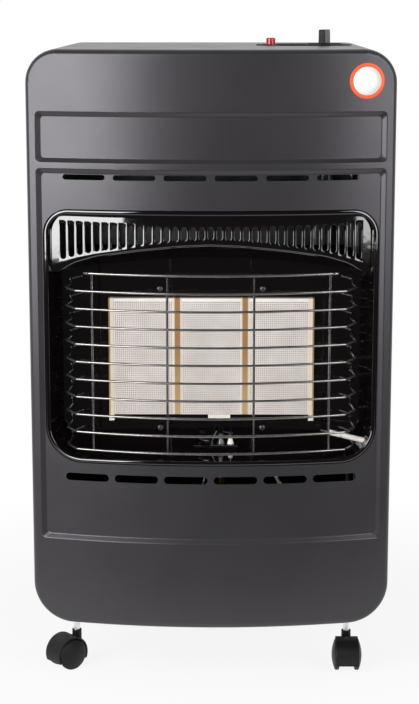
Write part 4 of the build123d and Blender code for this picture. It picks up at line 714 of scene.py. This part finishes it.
def hood_flange(x, lip):
    """Flange under the plate: an arc from the lip, then a straight slope to the pan's back panel.

    The arc is bend (1 - cos t) deep and bend sin t down. It ends where it points at the back edge,
    an angle that is put right three times. Towards both sides the flange fades into the plate."""
    reach = np.clip((FLANGE_END_X - np.abs(x)) / FLANGE_FADE, 0.02, 1)
    bend = FLANGE_BEND * reach
    back = FLANGE_BACK_Y - bow_y(x, HOOD_RADIUS)
    back_z = FLANGE_BACK_Z - FLANGE_ARCH * (x / FLANGE_ARCH_HALF_SPAN) ** 2
    slope = np.arctan2(lip - back_z, back)
    for _ in range(3):
        end_y = bend * (1 - np.sin(slope))
        end_z = lip - bend * np.cos(slope)
        slope = np.arctan2(end_z - back_z, back - end_y)
    rows = []
    for t in np.linspace(0, 1, 8):
        turn = t * (math.pi / 2 - slope)
        rows.append(spread(x, bend * (1 - np.cos(turn)), lip - bend * np.sin(turn)))
    for t in (0.1, 0.5, 1.0):
        part = t * reach
        rows.append(spread(x * (1 - FLANGE_NARROWING * part), end_y + (back - end_y) * part,
                           end_z + (back_z - end_z) * part))
    return hood_sheet(rows)


def hood_shell(width, through):
    """Bowed plate with slots, flange bent back below it and walls that run forward to the rim.

    Worked out flat as (x, depth behind the plate, z), then depth is laid behind the bowed plate."""
    lines, beside = hood_columns()
    low, high = hood_slot_ends(lines)
    above, below = high + TILE_ABOVE, low - TILE_BELOW
    lip = np.minimum(hood_lip_height(lines), below - TILE_STEP)
    level = np.linspace(0, 1, 4)
    up = [spread(lines, 0, above * (1 - t) + hood_plate_top(lines) * t) for t in level]
    down = [spread(lines, 0, z) for z in (below, lip)]

    # Beside the slots the rows of the outermost tile run on, and follow the rounded corner.
    foot_z, top_z, edge_z = lip[-1], up[-1][-1, 2], hood_tile_heights(lines[-1:])[0]
    column = np.concatenate([[foot_z], edge_z, edge_z[-1] + (top_z - edge_z[-1]) * level[1:]])
    part = (column - foot_z) / (top_z - foot_z)
    around = np.concatenate([lines[-1:], beside])
    height = foot_z + (hood_plate_top(around)[:, None] - foot_z) * part
    side = spread(around[:, None], 0, height)
    right = hood_sheet(side)
    left = (right[0] * (-1, 1, 1), right[1][:, ::-1])

    ends = np.full(len(beside), foot_z)
    flange = hood_flange(np.concatenate([-beside[::-1], lines, beside]),
                         np.concatenate([ends, lip, ends]))
    points, faces = combine([hood_slot_field(width, through), hood_sheet(up[::-1]),
                             hood_sheet(down), right, left, hood_walls(side, up[-1]), flange])
    points[:, 1] += bow_y(points[:, 0], HOOD_RADIUS)
    return merged(points, faces[:, ::-1], 0.01)


def rim_bead(half_width=2.5, height=1.6, inset=3.0, setback=5.0):
    """Half-round bead on the pan's rim: the profile (w cos t, h sin t) carried round the opening.

    The path is the opening's outline less the inset; its depth follows the fascia's bow."""
    half, low, high = OPENING_HALF_WIDTH - inset, OPENING_FOOT + inset, OPENING_TOP - inset
    top, foot = OPENING_TOP_CORNER - inset, OPENING_FOOT_CORNER - inset
    corners = ((half - top, high - top, top), (top - half, high - top, top),
               (foot - half, low + foot, foot), (half - foot, low + foot, foot))
    arcs, ways = [], []
    for quarter, (x, z, radius) in enumerate(corners):
        turn = np.linspace(0, math.pi / 2, 12) + quarter * math.pi / 2
        ways.append(spread(np.cos(turn), np.sin(turn)))
        arcs.append((x, z) + radius * ways[-1])
    part = np.linspace(0, 1, 26)[1:-1, None]
    path, out = [], []
    for arc, onward, way in zip(arcs, arcs[1:] + arcs[:1], ways):
        path += [arc, arc[-1] * (1 - part) + onward[0] * part]
        out += [way, np.repeat(way[-1:], len(part), 0)]
    path, out = np.concatenate(path), np.concatenate(out)
    t = np.linspace(0, math.pi, 11)
    profile = np.concatenate([spread(half_width * np.cos(t), height * np.sin(t)),
                              [(-half_width, -0.3), (half_width, -0.3)]])
    flat = path[:, None] + out[:, None] * profile[None, :, :1]
    y = bow_y(flat[..., 0]) + setback - profile[None, :, 1]
    return lofted(spread(flat[..., 0], y, flat[..., 1]), close_rows=True, inward=True)


class HEATER_OT_reflector(bpy.types.Operator):
    """Enamelled pan and slotted hood"""
    bl_idname = "heater.reflector"
    bl_label = "Reflector"

    def execute(self, context):
        skins(["reflector_pan"])
        sizes = context.scene.heater_hood
        shell = hood_shell(sizes.slot_width / MM, sizes.slot_through / MM)
        hood = make_piece("slotted_hood_plate", shell, "black_enamel", ["slotted_hood"])
        wall = hood.modifiers.new("sheet", "SOLIDIFY")
        wall.thickness = sizes.sheet
        wall.offset = -1.0
        make_piece("rim_bead", rim_bead(), "black_enamel")
        return {"FINISHED"}


def bow_wire(half_span, steps=41):
    """Front of the guard: y = front + R - sqrt(R² - x²)."""
    x = np.linspace(-half_span, half_span, steps)
    return spread(x, GUARD_FRONT_Y + GUARD_RADIUS - np.sqrt(GUARD_RADIUS ** 2 - x ** 2), 0)


def cross_bar():
    """Bow of the guard with both ends turned back into the pan."""
    front = bow_wire(GUARD_HALF_SPAN)
    right = rounded([front[-2], front[-1], GUARD_TURN, GUARD_END], GUARD_BEND)[1:]
    return np.concatenate([(right * (-1, 1, 1))[::-1], front[2:-2], right])


class HEATER_OT_guard(bpy.types.Operator):
    """Wire guard: cross bars, and uprights set just behind them at each crossing"""
    bl_idname = "heater.guard"
    bl_label = "Wire guard"

    def execute(self, context):
        sizes = context.scene.heater_guard
        radius = sizes.wire_radius / MM
        low, high = (corner[2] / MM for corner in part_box("guard_bars"))
        heights = np.linspace(high - radius, low + radius, GUARD_BARS)
        top = bow_wire(GUARD_TOP_HALF_SPAN)
        bars = [swept(shape + (0, 0, z), radius, sizes.sides)
                for shape, z in zip([top] + [cross_bar()] * (GUARD_BARS - 1), heights)]
        make_piece("guard_cross_bars", combine(bars), "guard_chrome", ["guard_bars"])
        uprights = []
        z = np.linspace(heights[-1] - radius, heights[0] + radius, 3)
        for x in GUARD_UPRIGHT_X:
            depth = math.sqrt(GUARD_RADIUS ** 2 - x ** 2)
            behind = (2 * radius + GUARD_WELD_GAP) * GUARD_RADIUS / depth
            y = GUARD_FRONT_Y + GUARD_RADIUS - depth + behind
            uprights.append(swept(spread(x, y, z), radius, sizes.sides))
        make_piece("guard_upright_wires", combine(uprights), "guard_chrome", ["guard_uprights"])
        return {"FINISHED"}


def perforated_field(width, height, across, up, radius, depth):
    """Flat field of round gas holes: one tile of rings, repeated at every hole.

    Ring k of a tile is (s_k cos a, d_k, s_k sin a); the outer one is pushed out to a square."""
    pitch = np.array([width / across, height / up])
    ring = spread(*circle(8))
    square = ring / np.abs(ring).max(1, keepdims=True)
    rows = [(square * pitch / 2, 0.0), (ring * radius * HOLE_MOUTH, 0.0),
            (ring * radius, HOLE_MOUTH_DEPTH), (ring * radius * HOLE_TAPER, depth),
            (ring * 0, depth)]
    tile = np.concatenate([spread(xz[:, 0], y, xz[:, 1]) for xz, y in rows])
    cells = np.stack(np.meshgrid(np.arange(across), np.arange(up), indexing="ij"), -1)
    centre = (cells.reshape(-1, 2) + 0.5) * pitch - (width / 2, height / 2)
    points = tile[None] + spread(centre[:, 0], 0, centre[:, 1])[:, None]
    return merged(*repeated(points, grid_faces(len(rows), 8, close_columns=True)))


def rim_frame(field, outer, back):
    """Border, sides and back of a plaque: rectangles that step from the field outwards and back.

    field is the field's outline as (x, z) points; outer holds the plaque's low and high corner."""
    low, high = field.min(0), field.max(0)
    part = (field - low) / (high - low)
    outer_low, outer_high = np.array(outer)
    rings = [spread(field[:, 0], 0, field[:, 1])]
    for inset, y in ((0.5, 0.0), (0.0, 0.5), (0.0, back)):
        place = outer_low + inset + part * (outer_high - outer_low - 2 * inset)
        rings.append(spread(place[:, 0], y, place[:, 1]))
    x, z = (outer_low + outer_high) / 2
    rings.append(np.tile([x, back, z], (len(field), 1)))
    faces = grid_faces(len(rings), len(field), close_columns=True)
    return np.concatenate(rings), faces[:, ::-1]


def field_outline(width, height, across, up):
    """Outline of a perforated field with a point at every tile's corners and middles."""
    x = np.linspace(-width / 2, width / 2, 2 * across + 1)
    z = np.linspace(-height / 2, height / 2, 2 * up + 1)
    return np.concatenate([spread(x[:-1], z[0]), spread(x[-1], z[:-1]), spread(x[:0:-1], z[-1]),
                           spread(x[0], z[:0:-1])])


class HEATER_OT_plaques(bpy.types.Operator):
    """Three ceramic plaques with their gas holes"""
    bl_idname = "heater.plaques"
    bl_label = "Burner plaques"

    def execute(self, context):
        sizes = context.scene.heater_plaques
        for solid in ("plaque_left", "plaque_centre", "plaque_right"):
            low, high = (np.array(corner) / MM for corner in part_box(solid))
            width = high[0] - low[0] - 2 * PLAQUE_SIDE
            height = high[2] - low[2] - PLAQUE_SIDE - PLAQUE_TOP
            holes = (width, height, sizes.holes_across, sizes.holes_up)
            field = perforated_field(*holes, sizes.hole_radius / MM, sizes.hole_depth / MM)
            centre = np.array([(low[0] + high[0]) / 2, low[1], low[2] + PLAQUE_SIDE + height / 2])
            outer = ((low - centre)[::2], (high - centre)[::2])
            border = rim_frame(field_outline(*holes), outer, high[1] - low[1])
            points, faces = merged(*combine([field, border]))
            make_piece(f"{solid}_face", (points + centre, faces), "plaque_ceramic", [solid],
                       sharp=35)
        return {"FINISHED"}


class HEATER_OT_burner(bpy.types.Operator):
    """Burner box, strips, mixing tubes and gas pipes"""
    bl_idname = "heater.burner"
    bl_label = "Burner and gas pipes"

    def execute(self, context):
        skins(["divider_strips", "edge_gaskets", "fibre_pads", "plaque_retainer", "burner_plenum",
               "mixing_tubes", "injector_bar", "injector_bracket", "injectors", "supply_pipes",
               "heat_shield", "gas_valve", "gas_inlet_union", "valve_spindle"])
        return {"FINISHED"}


def pan_head_screw(radius=3.6, height=2.2, arm_width=0.45, arm_reach=0.62, pit_depth=1.3, sides=48):
    """Pan head with a cross recess: a dome h √(1 - (r / R)⁴) less a cross-shaped pit.

    The pit is full up to 3/8 of an arm's width and reach, and slopes to nothing at its edge."""
    r = np.concatenate([[0], np.linspace(0.25, radius, 16)])[:, None]
    cos, sin = circle(sides)
    x, y = r * cos, r * sin
    dome = height * np.sqrt(np.clip(1 - (r / radius) ** 4, 0, 1))
    arm = np.minimum(np.abs(x), np.abs(y)) / arm_width
    reach = r / (arm_reach * radius)
    pit = pit_depth * np.clip(1.6 - 1.6 * np.maximum(arm, reach), 0, 1)
    return lofted(np.concatenate([spread(x, y, dome - pit), np.zeros((1, sides, 3))]))


class HEATER_OT_screws(bpy.types.Operator):
    """Screws that hold the burner, with their cross recesses"""
    bl_idname = "heater.screws"
    bl_label = "Burner screws"

    def execute(self, context):
        head, shells = pan_head_screw(), []
        shank = revolved([(0, 0), (SHANK_RADIUS, 0), (SHANK_RADIUS, SHANK_LENGTH),
                          (0, SHANK_LENGTH)], 24)
        for x in (-SCREW_X, SCREW_X):
            for z in SCREW_HEIGHTS:
                shells.append(placed(head, (x, SCREW_Y, z), (0, -1, 0)))
                shells.append(placed(shank, (x, SCREW_Y, z), (0, 1, 0)))
        make_piece("burner_screw_heads", combine(shells), "zinc_steel", ["burner_screws"],
                   sharp=50)
        return {"FINISHED"}


class HEATER_OT_ignition(bpy.types.Operator):
    """Pilot, thermocouple and ignition parts"""
    bl_idname = "heater.ignition"
    bl_label = "Pilot and ignition"

    def execute(self, context):
        skins(["pilot_bracket", "pilot_burner", "thermocouple", "pilot_electrode",
               "pilot_electrode_wire", "pilot_fitting", "pilot_pipe", "thermocouple_lead",
               "pilot_lead", "ignition_electrode", "ignition_tip", "ignition_lead", "igniter_body",
               "igniter_nut"])
        return {"FINISHED"}


def button_profile(radius, foot, top, edge=1.2, rim=2.2, dish=3.4, sunk=0.5):
    """Section of the red button: a wall, a round edge of edge (cos t, sin t) and a dished top."""
    turn = np.linspace(0, math.pi / 2, 6)[1:]
    return ([(0, foot), (radius, foot), (radius, top - edge)]
            + [(radius - edge + edge * math.cos(t), top - edge + edge * math.sin(t)) for t in turn]
            + [(radius - rim, top), (radius - dish, top - 0.35), (0, top - sunk)])


class HEATER_OT_controls(bpy.types.Operator):
    """Control knob, igniter button and their bezel"""
    bl_idname = "heater.controls"
    bl_label = "Controls"

    def execute(self, context):
        low, high = (np.array(corner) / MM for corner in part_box("igniter_button"))
        x, y = (low[:2] + high[:2]) / 2
        cap = revolved(button_profile(high[0] - x, low[2], high[2]))
        make_piece("igniter_button_cap", placed(cap, (x, y, 0)), "red_plastic",
                   ["igniter_button"], "igniter_button", sharp=50)
        skins(["control_bezel", "control_knob"])
        return {"FINISHED"}


def wheel_profile(face=17.6, crown=3.4, offset=14.9, bore=2.02, inner=9.3):
    """Section of a wheel as (radius, distance from the caster's middle).

    The face is crowned: offset + crown (1 - (1 - t)²) as the radius falls to nothing by 1 - t."""
    tread = [(bore, inner), (face, inner), (18.6, 9.8), (19.0, 10.8), (19.0, 13.6), (18.7, 14.3),
             (18.2, 14.6)]
    dome = [(face * (1 - t), offset + crown * (1 - (1 - t) ** 2)) for t in np.linspace(0, 1, 9)]
    return tread + dome + [(0, 15.05), (bore, 15.0), (bore, inner)]


class HEATER_OT_casters(bpy.types.Operator):
    """Twin-wheel casters with their stems and cups"""
    bl_idname = "heater.casters"
    bl_label = "Casters"

    def execute(self, context):
        skins(["caster_cups", "caster_stems", "caster_nuts"])
        joints = {joint["name"]: joint for joint in frame["record"]["behaviour"]["joints"]}
        wheel = revolved(wheel_profile(), 64)
        for place in CASTERS:
            skins([f"{place}_caster_hood", f"{place}_caster_axle"])
            joint = joints[f"{place}_roll"]
            axle, axis = np.array(joint["pos_m"]) / MM, np.array(joint["axis"])
            pair = [placed(wheel, axle, axis * side) for side in (-1, 1)]
            make_piece(f"{place}_wheel_pair", combine(pair), "caster_nylon",
                       [f"{place}_caster_wheels"], f"{place}_wheels", sharp=40)
        return {"FINISHED"}


def bow_disc(profile, sides=64):
    """Disc on the bowed front: rings of (radius, height off the paint) at the bow's own depth."""
    profile = np.asarray(profile, float)
    cos, sin = circle(sides)
    x = STICKER_PLACE[0] + profile[:, :1] * cos
    z = STICKER_PLACE[1] + profile[:, :1] * sin
    return lofted(spread(x, bow_y(x) - profile[:, 1:], z), size=0.0002)


class HEATER_OT_sticker(bpy.types.Operator):
    """Plain round sticker on the front, white inside a coloured rim"""
    bl_idname = "heater.sticker"
    bl_label = "Plain sticker"

    def execute(self, context):
        inner, outer, back = STICKER_WHITE_RADIUS, STICKER_RADIUS, STICKER_BACK
        white = bow_disc([(0, 0.16), (inner / 2, 0.16), (inner, 0.16), (inner, back),
                          (inner / 2, back), (0, back)])
        rim = bow_disc([(inner, back), (inner, 0.17), (outer - 2, 0.17), (outer - 0.1, 0.16),
                        (outer, back), (inner, back)])
        make_piece("sticker_face", white, "graphite_paint", material="sticker_white")
        make_piece("sticker_rim", rim, "graphite_paint", material="sticker_rim")
        return {"FINISHED"}


# ---- Stage ----

SMOOTH = {"interpolation_type": "SMOOTHSTEP"}


def soft_lamp(name, place, target, size, power):
    """Rectangular white soft box that points at a target."""
    data = bpy.data.lights.new(name, "AREA")
    data.shape = "RECTANGLE"
    data.size, data.size_y = size
    data.energy = power
    lamp = add_object(name, data)
    lamp.location = place
    lamp.rotation_mode = "QUATERNION"
    lamp.rotation_quaternion = (Vector(target) - Vector(place)).to_track_quat("-Z", "Y")


def seen_rays(tree):
    """Rays straight from the camera, and rays that come by a mirror or a clear body."""
    light = node(tree, "ShaderNodeLightPath").outputs
    mirrored = node(tree, "ShaderNodeMath", {"operation": "MAXIMUM"}, _0=light["Is Glossy Ray"],
                    _1=light["Is Transmission Ray"])
    return light["Is Camera Ray"], mirrored


def add_camera(scene, stage):
    """Camera at its measured place, turned by pan and tilt about a level horizon."""
    tilt, pan = stage.tilt, stage.pan
    forward = Vector((math.sin(pan) * math.cos(tilt), math.cos(pan) * math.cos(tilt),
                      -math.sin(tilt)))
    right = forward.cross(Vector((0, 0, 1))).normalized()
    data = bpy.data.cameras.new("photo_camera")
    data.lens = stage.lens
    data.sensor_width = 36.0
    data.clip_end = 50.0
    camera = add_object("photo_camera", data)
    turned = Matrix((right, right.cross(forward), -forward)).transposed()
    camera.matrix_world = turned.to_4x4()
    camera.location = stage.camera_place
    scene.camera = camera


def add_floor(colour, half_width=9, front=-0.5, back=30):
    """Pale floor that takes the lamps' light and shadow near the heater and fades to white.

    Seen rays get plain white, to 0.88 at 0.28 m from the middle and in full past 0.8 m, and towards
    its front edge. Rays that carry light to the heater meet the matt colour alone."""
    mesh = bpy.data.meshes.new("floor")
    mesh.from_pydata([(-half_width, front, 0), (half_width, front, 0), (half_width, back, 0),
                      (-half_width, back, 0)], [], [(0, 1, 2, 3)])
    paper = bpy.data.materials.new("white_paper_sweep")
    tree = empty_tree(paper)
    matt = node(tree, "ShaderNodeBsdfDiffuse", Color=(*colour, 1))
    glow = node(tree, "ShaderNodeEmission", Color=(1, 1, 1, 1), Strength=1.0)
    place = node(tree, "ShaderNodeTexCoord").outputs["Object"]
    away = node(tree, "ShaderNodeVectorMath", {"operation": "LENGTH"}, Vector=place)
    far = node(tree, "ShaderNodeMapRange", SMOOTH, Value=away.outputs["Value"], From_Min=0.28,
               From_Max=0.8, To_Min=0.88, To_Max=1.0)
    axes = node(tree, "ShaderNodeSeparateXYZ", Vector=place).outputs
    near = node(tree, "ShaderNodeMapRange", SMOOTH, Value=axes[1], From_Min=-0.26, From_Max=-0.48)
    fade = node(tree, "ShaderNodeMath", {"operation": "MAXIMUM"}, _0=far, _1=near)
    camera, mirrored = seen_rays(tree)
    seen = node(tree, "ShaderNodeMath", {"operation": "MAXIMUM"}, _0=camera, _1=mirrored)
    seen = node(tree, "ShaderNodeMath", {"operation": "MULTIPLY"}, _0=seen, _1=fade)
    mixed = node(tree, "ShaderNodeMixShader", _0=seen, _1=matt, _2=glow)
    node(tree, "ShaderNodeOutputMaterial", Surface=mixed)
    mesh.materials.append(paper)
    add_object("floor", mesh)


def add_studio(scene):
    """White background to the camera; mirrors see it white behind the heater, dark before it."""
    world = bpy.data.worlds.new("studio")
    scene.world = world
    tree = empty_tree(world)
    direction = node(tree, "ShaderNodeTexCoord").outputs["Generated"]
    axes = node(tree, "ShaderNodeSeparateXYZ", Vector=direction).outputs
    behind = node(tree, "ShaderNodeMapRange", SMOOTH, Value=axes[1], From_Min=-0.15, From_Max=0.3,
                  To_Min=0.04, To_Max=1.0)
    camera, mirrored = seen_rays(tree)
    plain = node(tree, "ShaderNodeMix", _0=mirrored, _2=0.35, _3=behind)
    strength = node(tree, "ShaderNodeMix", _0=camera, _2=plain, _3=1.0)
    background = node(tree, "ShaderNodeBackground", Color=(1, 1, 1, 1), Strength=strength)
    node(tree, "ShaderNodeOutputWorld", Surface=background)


class HEATER_OT_stage(bpy.types.Operator):
    """Camera, soft boxes, pale floor and studio background"""
    bl_idname = "heater.stage"
    bl_label = "Stage"

    def execute(self, context):
        scene, stage = context.scene, context.scene.heater_stage
        add_camera(scene, stage)
        add_floor(stage.floor_colour)
        add_studio(scene)
        middle = (0, -0.1, 0.45)
        soft_lamp("left_box", (-1.26, -1.60, 0.90), middle, (1.42, 1.34), 48)
        soft_lamp("right_box", (1.38, -1.38, 0.92), middle, (0.9, 1.3), 17)
        scene.view_settings.view_transform = "Standard"
        return {"FINISHED"}


# ---- Panel and registration ----

PIECES = (HEATER_OT_cabinet, HEATER_OT_reflector, HEATER_OT_guard, HEATER_OT_plaques,
          HEATER_OT_burner, HEATER_OT_screws, HEATER_OT_ignition, HEATER_OT_controls,
          HEATER_OT_casters, HEATER_OT_sticker, HEATER_OT_stage)
GROUPS = {"heater_guard": HeaterGuardSizes, "heater_hood": HeaterHoodSizes,
          "heater_plaques": HeaterPlaqueSizes, "heater_stage": HeaterStageSettings}


class HEATER_PT_panel(bpy.types.Panel):
    """Sizes of the heater's fine surfaces and a button for each group of pieces"""
    bl_idname = "HEATER_PT_panel"
    bl_label = "Gas cabinet heater"
    bl_space_type = "VIEW_3D"
    bl_region_type = "UI"
    bl_category = "Heater"

    def draw(self, context):
        for group, kind in GROUPS.items():
            box = self.layout.box()
            for prop in kind.__annotations__:
                box.prop(getattr(context.scene, group), prop)
        for piece in PIECES:
            self.layout.operator(piece.bl_idname)


def register():
    """Adds the classes and their settings to Blender."""
    for kind in (*GROUPS.values(), *PIECES, HEATER_PT_panel):
        bpy.utils.register_class(kind)
    for group, kind in GROUPS.items():
        setattr(bpy.types.Scene, group, bpy.props.PointerProperty(type=kind))


def unregister():
    """Takes the classes and their settings out of Blender."""
    for group in GROUPS:
        delattr(bpy.types.Scene, group)
    for kind in (*GROUPS.values(), *PIECES, HEATER_PT_panel):
        bpy.utils.unregister_class(kind)


def main():
    """Builds every piece and the stage."""
    register()
    make_materials()
    for kind in PIECES:
        group, name = kind.bl_idname.split(".")
        getattr(getattr(bpy.ops, group), name)()


if __name__ == "__main__":
    main()
